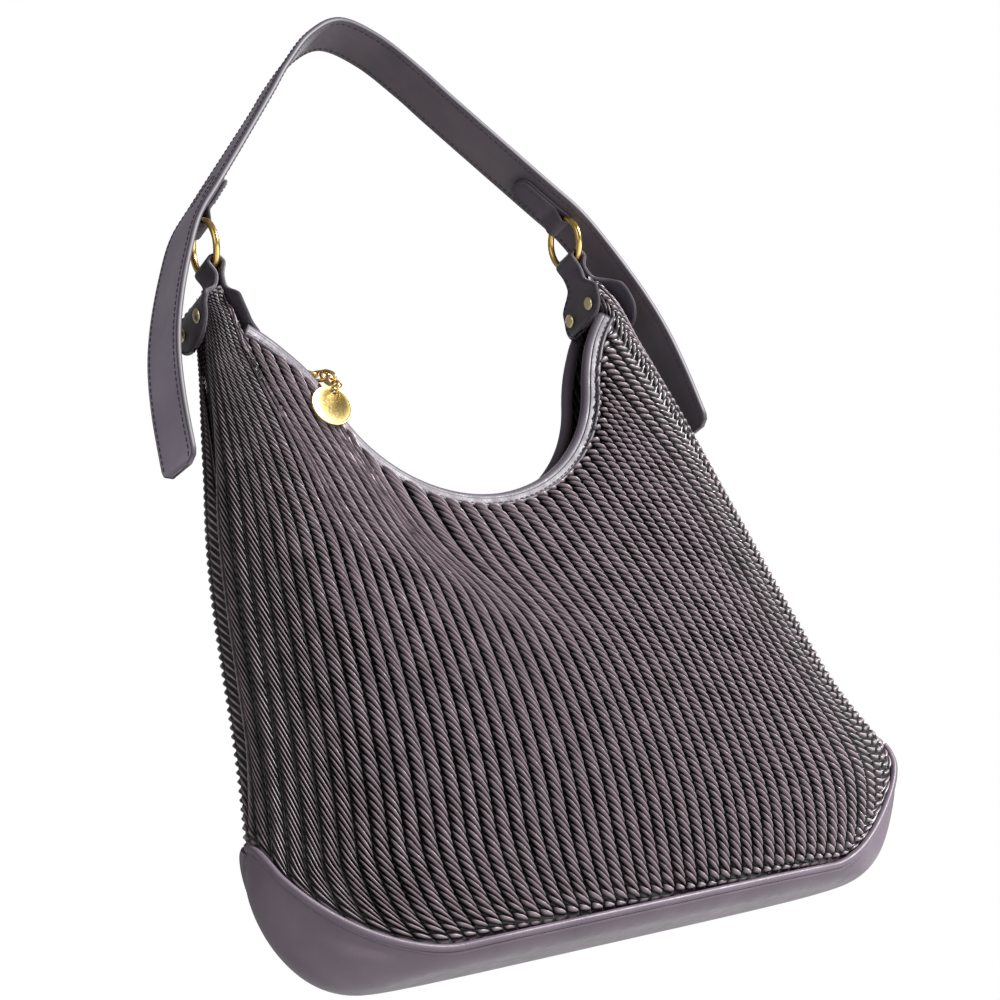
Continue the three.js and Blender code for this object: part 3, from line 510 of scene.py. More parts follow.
def body_point(share, z, side):
    """A point of the bag's skin; share is -1 at the left end and 1 at the right end of that height."""
    share, z = np.broadcast_arrays(np.asarray(share, float), np.asarray(z, float))
    y = side * depth_at(share, z)
    fade = smooth((z - SEAM["tongue_z"]) / (60 * MM)) * smooth((horn_z - 20 * MM - z) / (60 * MM))
    crease = CREASE["depth"] * fade * np.clip(1 - np.abs(y) / CREASE["half_width"], 0, 1)**2
    belly = (BELLY["out"] * smooth((share - BELLY["from_share"]) / (1 - BELLY["from_share"]))
             * hump((z - BELLY["z"]) / BELLY["height"]))
    x = middle_x(z) + share * half_length(z, share) - np.sign(share) * crease + belly
    return np.stack([x, y, z], -1)


def seam_z(share):
    start = np.where(share < 0, SEAM["start"][LEFT], SEAM["start"][RIGHT])
    rise = np.clip((np.abs(share) - start) / (1 - start), 0, 1)
    return SEAM["front_z"] + (SEAM["tongue_z"] - SEAM["front_z"]) * rise**SEAM["power"]


# ---- rope pleats

ROPES = 52  # across one face of the bag
STEPS_ACROSS = 8  # mesh steps across one rope
STEPS_UP = 640
STRAIGHT_ENDS = 0.05  # the share of a rope's length where its strands run out straight
STRAND_PITCH = 4.9 * MM  # on a rope of the full width; narrower ropes are twisted tighter
FULL_WIDTH = 8.6 * MM
STRAND_SLANT = 1.5  # how far a strand climbs for each step across its rope
STRAND_HEIGHT = 0.46  # of the strands, as a share of a rope's width
ROPE_HEIGHT = 0.50  # of a rope's round top, as a share of its width
ROPE_SINK = 2.2 * MM  # the ropes' sewn edges lie this far under the panel's surface
STRAND_SHARE = 0.68  # of the pitch; the rest is the gap between strands
TUCK_HEIGHT = 0.05  # of the fine sewn line that shows between two ropes
TUCK_WIDTH = 0.03
SHOULDER_RISE = 13 * MM  # the gathered pleats swell up round the neck of each tab
SHOULDER_REACH = 24 * MM
CALM = {"from": 0.62, "share": 0.6}  # toward the ends the pleats are pulled tight and flatter
UNDER_BINDING = 5.5 * MM  # the pleats end under the rim's binding
EVEN_Z = 2 * WIDEST_Z  # the ropes are evenly spaced at this height
FOLD = {"x": -45 * MM, "reach": 75 * MM, "z": 232 * MM, "slope": 0.55, "slope_x": -55 * MM, "half": 20 * MM,
        "depth": 5.0 * MM}
FLANK = {"z": 165 * MM, "half": 60 * MM, "share": 0.75, "half_share": 0.22, "depth": 3.0 * MM}
SWAY = {"x": 47 * MM, "z": 90 * MM, "from_z": 30 * MM, "to_z": 330 * MM, "height": 1.0 * MM}


def column_places():
    """The rope each of the mesh's columns is on, and its offset across it, closer beside the grooves."""
    across = -0.5 * np.cos(np.linspace(0, math.pi, STEPS_ACROSS + 1))
    return np.repeat(np.arange(ROPES), STEPS_ACROSS + 1), np.tile(across, ROPES)


def shares_at(places):
    """Shares at these parts of the way round one face of the body, from its left end to its right end."""
    share = np.sin(np.linspace(-0.5, 0.5, 801) * math.pi)
    run = distances(body_point(share, EVEN_Z, FRONT))
    return np.interp(places * run[-1], run, share)


def top_reach(share):
    """How far along the rim, from -1 to 1, the rope that starts at this share of the seam ends.

    All but the outermost end to the left of where they start, most of all in the left half.
    """
    left = (share + 1) / 0.9
    gathered = -0.1 * left - 0.24 * np.sin(math.pi * np.clip(left, 0, 1))
    held = -0.1 * np.clip((1 - share) / 0.22, 0, 1)
    return share + np.where(share < -0.1, gathered, held)


def rope_top(share):
    """Where each rope meets the rim or a horn's top, as a share and a height."""
    reach = top_reach(share)
    end = np.where(reach < 0, LEFT, RIGHT)
    rim_length = np.where(reach < 0, rim_left_length, rim_right_length)
    edge = rim_point(end * rim_length, UNDER_BINDING)
    crown = half_length(horn_z, end) - end * edge[:, 0]
    travel = np.abs(reach) * (rim_length + crown)
    on_rim = rim_point(end * np.minimum(travel, rim_length), UNDER_BINDING)
    past = np.maximum(0, travel - rim_length)
    x = on_rim[:, 0] + end * past
    shoulder = SHOULDER_RISE * smooth((travel - rim_length) / SHOULDER_REACH + 1)
    return x / half_length(on_rim[:, 1], end), on_rim[:, 1] + shoulder


def rope_surface(side, places, up):
    """The smooth surface that the ropes lie on; up is 0 at the seam and 1 at the rim."""
    share_low = shares_at(places)
    share_high, z_high = rope_top(share_low)
    z_low = seam_z(share_low) + 1.5 * MM
    onset = mix(0.56, 0.64, (share_low + 1) / 2)
    swing = smooth((up - onset) / (1 - onset))
    bow = 0.05 * (1 - share_low**2) * np.sin(math.pi * up)
    share = np.clip(mix(share_low, share_high, swing) + bow, -1, 1)
    z = mix(z_low, z_high, up)
    points = body_point(share, z, side)
    points[..., 1] *= 1 - 0.35 * smooth((z - horn_z + SHOULDER_RISE) / (2 * SHOULDER_RISE))
    return points, share


def rope_sizes(side, up):
    """The width of every rope at every height, and its length from the row below."""
    edges, _ = rope_surface(side, np.arange(ROPES + 1) / ROPES, up)
    width = np.linalg.norm(np.diff(edges, axis=1), axis=2)
    middles, _ = rope_surface(side, (np.arange(ROPES) + 0.5) / ROPES, up)
    steps = np.linalg.norm(np.diff(middles, axis=0), axis=2)
    return np.minimum(width, FULL_WIDTH), np.vstack([np.zeros(ROPES), steps])


def drape(points, share):
    """Slack in the pleats: a fold that slants down below the rim, a hollow on the right and a soft sway."""
    x, z = points[..., 0] - hang_x, points[..., 2]
    fold = hump((z - FOLD["z"] + FOLD["slope"] * (x - FOLD["slope_x"])) / FOLD["half"])
    fold *= hump((x - FOLD["x"]) / FOLD["reach"])
    flank = hump((z - FLANK["z"]) / FLANK["half"]) * hump((share - FLANK["share"]) / FLANK["half_share"])
    sway = np.sin(x / SWAY["x"] + 1.7 * np.sin(z / SWAY["z"])) * smooth((z - SWAY["from_z"]) / (60 * MM))
    sway *= smooth((SWAY["to_z"] - z) / (80 * MM)) * smooth((0.93 - np.abs(share)) / 0.2)
    return -FOLD["depth"] * fold - FLANK["depth"] * flank + SWAY["height"] * sway


def rope_relief(rope, offset, width, run, share, up):
    """The height of the twisted ropes over their smooth surface, and a colour mask from 0 to 1: painted shade
    in the grooves, the gaps between strands and down the ropes' sides, up to painted highlight on the crests.
    """
    round_top = np.sqrt(np.clip(1 - (2 * offset)**2, 0, 1))
    phase = run / STRAND_PITCH + 0.12 * rope
    within = phase - np.floor(phase)
    strand = np.sin(math.pi * np.clip(within / STRAND_SHARE, 0, 1))
    tucked = smooth(up / 0.02) * smooth((1 - up) / 0.02)
    swell = 1 + 0.06 * np.sin(run / (23 * MM) + 2.1 * rope)
    tuck = hump((0.5 - np.abs(offset)) / TUCK_WIDTH)
    calm = 1 - CALM["share"] * smooth((np.abs(share) - CALM["from"]) / (1 - CALM["from"]))
    height = width * (ROPE_HEIGHT * round_top * swell + STRAND_HEIGHT * (strand - 0.55) * round_top**0.7
                      + TUCK_HEIGHT * tuck) * tucked * calm
    # Painted shade and highlight: dark down the ropes' sides and in the gaps between strands, pale on the
    # crests, a little darker toward the calmed ends, and the fine sewn line between ropes coloured pale.
    painted_shading = round_top**1.8 * (0.05 + 0.95 * strand) * (0.7 + 0.3 * calm)
    return height, np.maximum(painted_shading, 0.6 * tuck)


def rope_panel(side, face):
    """One face of twisted rope pleats. The mesh's rows climb across each rope along its strands."""
    rope, offset = column_places()
    rows = np.linspace(0, 1, STEPS_UP + 1)[:, None]
    width, steps = rope_sizes(side, rows)
    climb = side * (offset + 0.2 * offset**3) * width[:, rope] * STRAND_SLANT
    climb *= smooth(rows / STRAIGHT_ENDS) * smooth((1 - rows) / STRAIGHT_ENDS)
    up = rows + climb / steps.sum(axis=0)[rope]
    surface, share = rope_surface(side, (rope + 0.5 + offset) / ROPES, up)
    by_rope = surface.reshape(len(rows), ROPES, STEPS_ACROSS + 1, 3)
    normal = unit(np.cross(np.gradient(by_rope, axis=2), np.gradient(by_rope, axis=0))) * (-side)
    normal = normal.reshape(surface.shape)
    normal[:, [0, -1], 1] = 0  # both faces' outermost columns meet in the middle plane
    normal = unit(normal)
    fade = smooth(up / 0.08) * smooth((1 - up) / 0.08)
    surface = surface + normal * (drape(surface, share) * fade)[..., None]
    twisted_run = np.cumsum(steps * np.sqrt(FULL_WIDTH / np.maximum(width, FULL_WIDTH / 4)), axis=0)
    height, painted_shading = rope_relief(rope, offset, width[:, rope], twisted_run[:, rope], share, up)
    points = surface + normal * (height - ROPE_SINK)[..., None]
    points[..., 1] = side * np.maximum(side * points[..., 1], 0)
    corner = np.arange(share.size).reshape(len(rows), ROPES, STEPS_ACROSS + 1)
    corners = [corner[:-1, :, :-1], corner[:-1, :, 1:], corner[1:, :, 1:], corner[1:, :, :-1]]
    faces = np.stack(corners[::-side], -1).reshape(-1, 4).tolist()
    obj = mesh_object(f"pleats_{face}", points.reshape(-1, 3), faces, rope_skin, "bag")
    # The painted shade and highlight, kept on the mesh for the rope material's colour.
    values = obj.data.attributes.new("painted_shading", "FLOAT", "POINT")
    values.data.foreach_set("value", np.clip(painted_shading, 0, 1).astype(np.float32).ravel())
    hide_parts(f"{face}_panel")


for side, face in FACES:
    rope_panel(side, face)

# ---- base and its piping

PIPING = {"roll": 2.1 * MM, "roll_out": 0.6 * MM,
          "flange": 0.8 * MM, "flange_out": 0.1 * MM, "flange_below": 2.4 * MM}
BASE_TUCK = 1.0 * MM  # the base's skin stops this far below the seam, under the piping


def seam_path(side):
    """The seam between pleats and base along one face, a little clear of the middle plane at its ends."""
    share = np.sin(np.linspace(-0.5, 0.5, 401) * math.pi)
    path = body_point(share, seam_z(share), side)
    path[:, 1] = side * np.maximum(side * path[:, 1], 1.6 * MM)
    return evenly(path, 2.0 * MM)


def outward(path, side):
    """The level direction out of the bag's skin at each point of a path that lies on it."""
    along = tangents(path)
    level = np.column_stack([along[:, 1], -along[:, 0], np.zeros(len(path))]) * (-side)
    return unit(level * np.sign(side * level[:, 1:2] + 1e-9))


def base_panel():
    """The smooth leather base: one skin from the seam down round the edge to the flat foot."""
    around = full_turn(240)
    share = np.cos(around)
    side = np.where(np.sin(around) >= 0, 1, -1)
    top = seam_z(share) - BASE_TUCK
    rows = [body_point(share, top * level, side) for level in np.linspace(0, 1, 31)**1.5]
    foot = [mix(np.array([foot_x, 0, 0]), rows[0], t) for t in (0.02, 0.35, 0.7, 0.9)]
    lip = rows[-1] * [1, 0.9, 1] + UP * 0.4 * MM
    points = np.array([*foot, *rows, lip])
    faces = grid_faces(len(points), len(around), wrap_columns=True)
    faces.append(list(range(len(around)))[::-1])
    obj = mesh_object("base", points.reshape(-1, 3), faces, smooth_leather, "bag")
    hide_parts("base_panel")


def seam_piping(side, face):
    """A round roll along the seam, with the flange below it that is sewn to the base."""
    path = seam_path(side)
    out = outward(path, side)
    roll = sweep(path + out * PIPING["roll_out"], out, round_section(PIPING["roll"], 14))
    flange_path = path - UP * PIPING["flange_below"] + out * PIPING["flange_out"]
    flange = sweep(flange_path, out, round_section(PIPING["flange"], 8))
    obj = joined(f"base_piping_{face}_roll", [roll, flange], smooth_leather, "bag")
    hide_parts(f"base_piping_{face}")


base_panel()
for side, face in FACES:
    seam_piping(side, face)

# ---- rim binding

UNDER_TAB = 17 * MM  # the bindings stop this far short of the horns' tops
BINDING_PARTS = {  # how far away from the opening, how far out of the lip, and the section
    "roll": (3.2 * MM, 0, round_section(3.4 * MM, 18) * [1.0, 1.05]),
    "strip": (6.4 * MM, 3.4 * MM, strip_section(1.4 * MM, 5.4 * MM, 0.5 * MM)),
    "welt": (8.6 * MM, 4.9 * MM, round_section(1.1 * MM, 10)),
}
BINDING_STITCHES = (6.9 * MM, 4.1 * MM)


def rim_path(away, out, side):
    """A line that follows the rim, moved away from the opening and out of the lip."""
    run = np.linspace(-rim_left_length + UNDER_TAB, rim_right_length - UNDER_TAB, 221)
    flat = rim_point(run, away)
    depth = RIM["half_gap"] + out + rim_spread(flat[:, 1])
    return np.column_stack([hang_x + flat[:, 0], side * depth, flat[:, 1]])


def rim_binding(side, face):
    """A rolled edge, a stitched strip below it and a thin welt where it meets the pleats."""
    facing = np.array([0.0, side, 0.0])
    parts = [sweep(rim_path(away, out, side), facing, section)
             for away, out, section in BINDING_PARTS.values()]
    obj = joined(f"binding_{face}", parts, binding_leather, "bag")
    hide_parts(f"rim_binding_{face}")
    pile = Pile()
    line = rim_path(*BINDING_STITCHES, side)
    stitches(pile, line, np.cross(tangents(line), facing), facing, 2.6 * MM, 1.2 * MM)
    pile.build(f"binding_stitches_{face}", dark_thread, "bag")


for side, face in FACES:
    rim_binding(side, face)

# ---- zip

TOOTH_PITCH = 1.7 * MM
TEETH_FROM, TEETH_TO = math.radians(-91), math.radians(78)  # round the zip's arc, from straight down
# A tooth's three sections: the place across the row from -1 to 1, half the thickness and half the height.
TOOTH = ((-1, 0.42 * MM, 1.35 * MM), (0.55, 0.42 * MM, 1.35 * MM), (1, 0.26 * MM, 0.85 * MM))
SLIDER = {"at": math.radians(-90), "half_length": 5.4 * MM, "width": 14.6 * MM, "plate": 1.0 * MM,
          "lift": 2.5 * MM, "post": 1.9 * MM, "half_post": 2.4 * MM,
          "eye": 2.75 * MM, "eye_wire": 0.85 * MM, "eye_inwards": 6.1 * MM, "eye_along": 2 * MM}
zip_arc = float(np.linalg.norm((middle("zip_stop_left") - mouth_at)[[0, 2]]))


def on_zip(angle):
    """The directions away from the mouth's middle and along the zip, at an angle round its arc."""
    return np.array([math.sin(angle), 0, -math.cos(angle)]), np.array([math.cos(angle), 0, math.sin(angle)])


def zip_teeth(side, face):
    """A row of separate teeth along the zip's arc, each a bar that narrows where it meets the other row."""
    row = f"zip_row_{face}"
    low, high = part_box(row)
    y, width = (low.y + high.y) / 2, high.y - low.y
    inwards = np.array([0, -side, 0])
    faces = grid_faces(3, 4, wrap_columns=True) + [[3, 2, 1, 0], [8, 9, 10, 11]]
    pile = Pile()
    count = round((TEETH_TO - TEETH_FROM) * zip_arc / TOOTH_PITCH)
    for i in range(count):
        angle = mix(TEETH_FROM, TEETH_TO, (i + (0.25 if side == FRONT else 0.75)) / count)
        outwards, along = on_zip(angle)
        centre = mouth_at + outwards * zip_arc + [0, y, 0]
        corners = [centre + inwards * reach * width / 2 + along * a * thick + outwards * b * tall
                   for reach, thick, tall in TOOTH for a, b in ((-1, -1), (1, -1), (1, 1), (-1, 1))]
        pile.add(corners, faces)
    obj = pile.build(f"zip_teeth_{face}", gold, "bag")
    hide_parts(row)


def zip_slider():
    """Two rounded plates on a post, with a round eye for the chain."""
    outwards, along = on_zip(SLIDER["at"])
    centre = mouth_at + outwards * zip_arc
    steps = np.linspace(-1, 1, 15)
    wide = (1 - 0.25 * np.abs(steps)) * np.sqrt(1 - 0.9 * np.abs(steps)**6)
    section = strip_section(SLIDER["width"], SLIDER["plate"], 0.45 * SLIDER["plate"])
    parts = []
    for lift in (-SLIDER["lift"], SLIDER["lift"]):
        path = centre + outwards * lift + along * steps[:, None] * SLIDER["half_length"]
        parts.append(sweep(path, ACROSS, section, scale=wide))
    post = centre + outwards * np.linspace(-1, 1, 5)[:, None] * SLIDER["half_post"]
    parts.append(sweep(post, ACROSS, round_section(SLIDER["post"], 12)))
    eye_centre = centre - outwards * SLIDER["eye_inwards"] + along * SLIDER["eye_along"]
    turn = full_turn(32)
    eye = eye_centre + SLIDER["eye"] * (np.outer(np.cos(turn), along) + np.outer(np.sin(turn), outwards))
    parts.append(sweep(eye, ACROSS, round_section(SLIDER["eye_wire"], 10), closed=True))
    obj = joined("slider", parts, gold, "zip_slider")
    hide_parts("zip_slider")


for side, face in FACES:
    zip_teeth(side, face)
zip_slider()

# ---- chain and charm

LINK_STOUTNESS = 1.2  # the polished wire against the frame's thinner one
LINK_TWIST = 0.35  # radians, from a link's middle to either end
CHARM_HOLE = 1.8 * MM
CHARM_PROFILE = ((0, 0.62), (0.88, 0.62), (0.90, 0.72), (0.925, 1), (0.965, 1), (0.99, 0.8), (1, 0.4))


def curb_link(node):
    """A twisted oval link of round wire."""
    centre, directions, sizes = axes_of(node)
    long_way, short_way, thin_way = directions
    wire = sizes[2] / 2
    turn = full_turn(48)
    x = (sizes[0] / 2 - wire) * np.cos(turn)
    y = (sizes[1] / 2 - wire) * np.sign(np.sin(turn)) * np.abs(np.sin(turn))**0.8
    twist = LINK_TWIST * x / (sizes[0] / 2)
    path = (centre + np.outer(x, long_way) + np.outer(y * np.cos(twist), short_way)
            + np.outer(y * np.sin(twist), thin_way))
    points, faces = sweep(path, thin_way, round_section(wire * LINK_STOUTNESS, 12), closed=True)
    obj = mesh_object(f"{node}_wire", points, faces, gold, node)
    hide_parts(node)


def charm():
    """A plain round disc with a raised rim on both faces and a punched hole.

    Its profile runs from the hole outwards, in shares of the disc's radius and half thickness.
    """
    centre, directions, sizes = axes_of("charm_disc")
    hole_at = pivots["charm_swing"]
    normal = directions[2]
    toward_hole = unit((hole_at - centre) - ((hole_at - centre) @ normal) * normal)
    across = np.cross(normal, toward_hole)
    radius, thick = sizes[0] / 2, sizes[2] / 2
    turn = full_turn(96)
    outer = np.column_stack([np.cos(turn), np.sin(turn)])
    hole = outer * CHARM_HOLE / radius + [np.linalg.norm(hole_at - centre) / radius, 0]
    rings = [(outer * share if share else hole, level) for share, level in CHARM_PROFILE]
    rings += [(flat, -level) for flat, level in reversed(rings)]
    points = [centre + np.outer(flat[:, 0] * radius, toward_hole) + np.outer(flat[:, 1] * radius, across)
              + normal * thick * level for flat, level in rings]
    faces = grid_faces(len(points), len(turn), wrap_rows=True, wrap_columns=True)
    obj = mesh_object("charm_blank", np.concatenate(points), faces, satin_gold, "charm_disc")
    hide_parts("charm_disc")


for number in range(1, 5):
    curb_link(f"chain_link_{number}")
curb_link("charm_jump_ring")
charm()

# ---- rings and rivets

DOME = ((0, 0), (0.35, 0.06), (0.65, 0.25), (0.85, 0.5), (0.97, 0.8), (1, 1), (0.9, 1.08))
RIVET = {"dome": 1.4 * MM, "cap": 1.6 * MM, "stub": 3.2 * MM, "shaft": 1.4 * MM}


def ring(node):
    turn = full_turn(96)
    circle = np.column_stack([np.zeros(len(turn)), np.cos(turn), np.sin(turn)])
    path = middle(node) + (ring_radius - ring_wire) * circle
    points, faces = sweep(path, np.array([1.0, 0, 0]), round_section(ring_wire, 20), closed=True)
    obj = mesh_object(f"{node}_hoop", points, faces, gold, node)
    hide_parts(node)


def rivet(node):
    """A softly flattened domed cap on a short stub at each end; the horn hides what joins them.

    The dome is drawn from its crown outwards, in shares of the head's radius and the dome's height.
    """
    centre = middle(node)
    half, head = size(node)[0] / 2, size(node)[2] / 2
    profile = [(half - drop * RIVET["dome"], share * head) for share, drop in DOME]
    profile += [(half - RIVET["cap"], RIVET["shaft"]), (half - RIVET["stub"], RIVET["shaft"]),
                (half - RIVET["stub"], 0)]
    turn = full_turn(28)
    faces = grid_faces(len(profile), len(turn), wrap_columns=True)
    caps = []
    for end in (LEFT, RIGHT):
        points = [centre + [end * x, r * math.cos(a), end * r * math.sin(a)]
                  for x, r in profile for a in turn]
        caps.append((points, faces))
    obj = joined(f"{node}_metal", caps, pale_gold, "bag")
    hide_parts(node)


for _, end_name in ENDS:
    ring(f"ring_{end_name}")
    for _, face in FACES:
        rivet(f"rivet_{end_name}_{face}")

# ---- ribbons of leather

class Ribbon:
    """A flat strip that follows a line, with a width of its own at each point."""

    def __init__(self, path, side, half_width, thickness):
        self.path = path
        along = tangents(path)
        self.side = unit(side - (side * along).sum(1, keepdims=True) * along)
        self.lift = np.cross(self.side, along)
        self.run = distances(path)
        self.half_width = half_width
        self.thickness = thickness

    def solid(self, soft=0.5):
        widest = self.half_width.max()
        section = strip_section(2 * widest, self.thickness, soft * self.thickness)
        return sweep(self.path, self.side, section, scale=self.half_width / widest)

    def stitch(self, pile, run, lateral, face, **kind):
        """A row of stitches on one face, along a line given as distances along and across the strip."""
        path, side, lift = (sample(values, self.run, run) for values in (self.path, self.side, self.lift))
        points = path + side * np.reshape(lateral, (-1, 1)) + lift * (face * self.thickness / 2)
        even = evenly(np.column_stack([points, lift * face]), 1.0 * MM)
        line, out = even[:, :3], unit(even[:, 3:])
        stitches(pile, line, np.cross(tangents(line), out), out, **kind)


def in_plane(line, end):
    """A line drawn in X and Z in the hanging frame, for the right end, put in place at either end."""
    return np.column_stack([hang_x + end * line[:, 0], np.zeros(len(line)), line[:, 1]])


RING_OUT = ring_at[RIGHT][0] - hang_x  # from the hanging line to either ring
RING_Z = ring_at[RIGHT][2]

# ---- anchor tabs

TAB = {"thickness": 2.4 * MM, "neck": 9.5 * MM, "shield": 20.5 * MM,
       "tip_z": 364 * MM, "shoulder_z": 387 * MM, "neck_z": 400 * MM}


def tab_half_width(z):
    """The folded tab's half width: a narrow neck that flares into a shield with a soft point."""
    flare = smooth((TAB["neck_z"] - z) / (TAB["neck_z"] - TAB["shoulder_z"]))
    shield = mix(TAB["neck"], TAB["shield"], flare)
    point = np.clip((z - TAB["tip_z"]) / (15 * MM), 0.004, 1)
    return shield * np.sqrt(1 - (1 - point)**2)**0.9


def anchor_tab(end, name):
    """The strip folded over the ring's lower wire, with a leg down the horn's inner and outer sides."""
    half = TAB["thickness"] / 2
    wire_z = RING_Z - (ring_radius - ring_wire) + 1.2 * MM
    loop_radius = ring_wire + 1.5 * MM + half
    rim_length = rim_left_length if end == LEFT else rim_right_length
    inner = rim_point(end * rim_length * np.array([0.86, 0.9, 0.94, 0.98]), -(half + 0.5 * MM))
    points = [[end * x, z] for x, z in inner]
    points.append([RING_OUT - half - 0.4 * MM, RING_Z - 30 * MM])
    points.append([RING_OUT - half - 0.8 * MM, wire_z - 7 * MM])
    for angle in np.linspace(math.pi, 0, 9):
        points.append([RING_OUT + loop_radius * math.cos(angle), wire_z + loop_radius * math.sin(angle)])
    points.append([RING_OUT + half + 0.8 * MM, wire_z - 7 * MM])
    points.append([RING_OUT + half + 4.2 * MM, RING_Z - 29.5 * MM])
    points.append([float(half_length(horn_z, end)) - 2.4 * MM, horn_z + 4.2 * MM])
    for z in horn_z - np.array([4, 12, 22, 25]) * MM:
        points.append([float(half_length(z, end)) + 0.8 * MM + half, z])
    line = evenly(spline(points, 8), 0.9 * MM)
    path = in_plane(line, end)
    widths = tab_half_width(path[:, 2])
    ribbon = Ribbon(path, ACROSS, np.maximum(widths, 0.3 * MM), TAB["thickness"])
    obj = joined(f"anchor_{name}_leather", [ribbon.solid()], dark_leather, "bag")
    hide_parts(f"anchor_tab_{name}")
    pile = Pile()
    crest = int(np.argmax(path[:, 2]))
    for leg in (slice(0, crest), slice(crest, None)):
        low = path[leg][:, 2] < TAB["neck_z"] + 8 * MM
        run = ribbon.run[leg][low]
        inset = np.maximum(widths[leg][low] - 2.2 * MM, 0)
        for edge in (-1, 1):
            for face in (-1, 1):
                ribbon.stitch(pile, run, edge * inset, face, length=2.6 * MM, gap=1.1 * MM)
    pile.build(f"anchor_{name}_stitches", dark_thread, "bag")


for end, end_name in ENDS:
    anchor_tab(end, end_name)

# ---- strap

STRAP = {"half_width": 16 * MM, "layer": 1.6 * MM, "between": 0.3 * MM, "corner": 7 * MM, "inset": 2.6 * MM}
# The left leg turns its outer face a little to the front, from this far left of the hanging line on.
TWIST = {"angle": math.radians(9), "from_x": 30 * MM, "over": 100 * MM}
LOOP = {"half_width": 8.5 * MM, "thickness": 2.0 * MM, "length": 42 * MM, "clear": 13 * MM}

# The right half of the strap's middle line in the hanging frame, from the hanging end to the crest.
strap_half = np.array([
    [175, 292], [172, 331], [167, 361], [158.5, 388], [146, 417], [133, 441.5],
    [116, 462], [90, 492.5], [62, 525.5], [46, 545], [24, 567], [0, 578],
]) * MM
strap_line = evenly(spline(np.vstack([strap_half, strap_half[-2::-1] * [-1, 1]]), 10), 3 * MM)


def strap_side(path):
    """The strap's width direction: level, and turned on the left leg."""
    turn = TWIST["angle"] * smooth((hang_x - TWIST["from_x"] - path[:, 0]) / TWIST["over"])
    return np.column_stack([-np.sin(turn), np.cos(turn), np.zeros(len(path))])


def strap_half_width(run, length):
    """Full width, with rounded corners at both hanging ends."""
    corner = STRAP["corner"]
    near = np.minimum(run, length - run)
    short = np.clip(corner - near, 0, corner)
    return STRAP["half_width"] - corner + np.sqrt(np.maximum(corner**2 - short**2, (0.3 * MM)**2))


def strap_ribbon(lifted, thickness):
    """A layer of the strap, moved off its middle line in the direction that the strip's lift points."""
    path = in_plane(strap_line, RIGHT)
    side = strap_side(path)
    unmoved = Ribbon(path, side, np.ones(len(path)), 1)
    widths = strap_half_width(unmoved.run, unmoved.run[-1])
    return Ribbon(path + unmoved.lift * lifted, side, widths, thickness)


whole_strap = strap_ribbon(0, 1)
towards_arm = -1 if whole_strap.lift[len(strap_line) // 2, 2] > 0 else 1


def strap():
    """The strap's two layers, the stitches along their edges and the paint on its cut edges."""
    offset = (STRAP["layer"] + STRAP["between"]) / 2
    pile = Pile()
    ribbons = {}
    layers = (("outer", -towards_arm, strap_leather), ("lining", towards_arm, lining_leather))
    for name, face, material in layers:
        ribbon = strap_ribbon(face * offset, STRAP["layer"])
        obj = joined(f"strap_{name}_leather", [ribbon.solid(0.45)], material, "strap")
        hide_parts(f"strap_{name}")
        run = np.linspace(STRAP["inset"], ribbon.run[-1] - STRAP["inset"], 500)
        for edge in (-1, 1):
            lateral = edge * (strap_half_width(run, ribbon.run[-1]) - STRAP["inset"])
            ribbon.stitch(pile, run, lateral, face)
        ribbons[name] = ribbon
    pile.build("strap_stitches", dark_thread, "strap")
    painted = []
    for edge in (-1, 1):
        line = whole_strap.path + whole_strap.side * (edge * (whole_strap.half_width - 0.15 * MM))[:, None]
        painted.append(sweep(line, whole_strap.side, round_section(1, 12) * [0.75 * MM, 1.7 * MM]))
    joined("strap_edge_paint", painted, lilac_edge, "strap")
    return ribbons


strap_ribbons = strap()


def ring_loop(end, name):
    """The short strip through the ring, its two legs laid on the strap's inner face and sewn there."""
    half = LOOP["thickness"] / 2
    along = tangents(strap_line)
    run = distances(strap_line)
    inward = np.column_stack([-along[:, 1], along[:, 0]])
    wire_z = RING_Z + ring_radius - ring_wire - 0.9 * MM
    ring_run = run[int(np.argmax(strap_line[:, 1] >= wire_z))]
    near = STRAP["layer"] + 0.75 * MM + half
    far = near + LOOP["thickness"] + 0.3 * MM
    loop_radius = ring_wire + 1.1 * MM + half
    top, clear = ring_run + LOOP["length"], ring_run + LOOP["clear"]

    def leg(start, stop, inwards):
        at = np.linspace(start, stop, 6)
        return list(sample(strap_line, run, at) + sample(inward, run, at) * inwards)

    points = leg(top, clear, far)
    for angle in math.pi * (1 + np.linspace(0, 1, 9)) - 0.1:
        points.append([RING_OUT + loop_radius * math.cos(angle), wire_z + loop_radius * math.sin(angle)])
    points += leg(clear, top, near)
    path = in_plane(evenly(spline(points, 8), 0.9 * MM), end)
    run_path = distances(path)
    end_gap = np.minimum(run_path, run_path[-1] - run_path)
    short = np.clip(1 - end_gap / LOOP["half_width"], 0, 1)
    widths = LOOP["half_width"] * np.sqrt(np.maximum(1 - short**2, 0.002))
    ribbon = Ribbon(path, ACROSS, widths, LOOP["thickness"])
    obj = joined(f"loop_{name}_leather", [ribbon.solid()], dark_leather, "strap")
    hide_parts(f"strap_tab_{name}")
    loop_stitches(ribbon, end, ring_run + LOOP["length"], name)


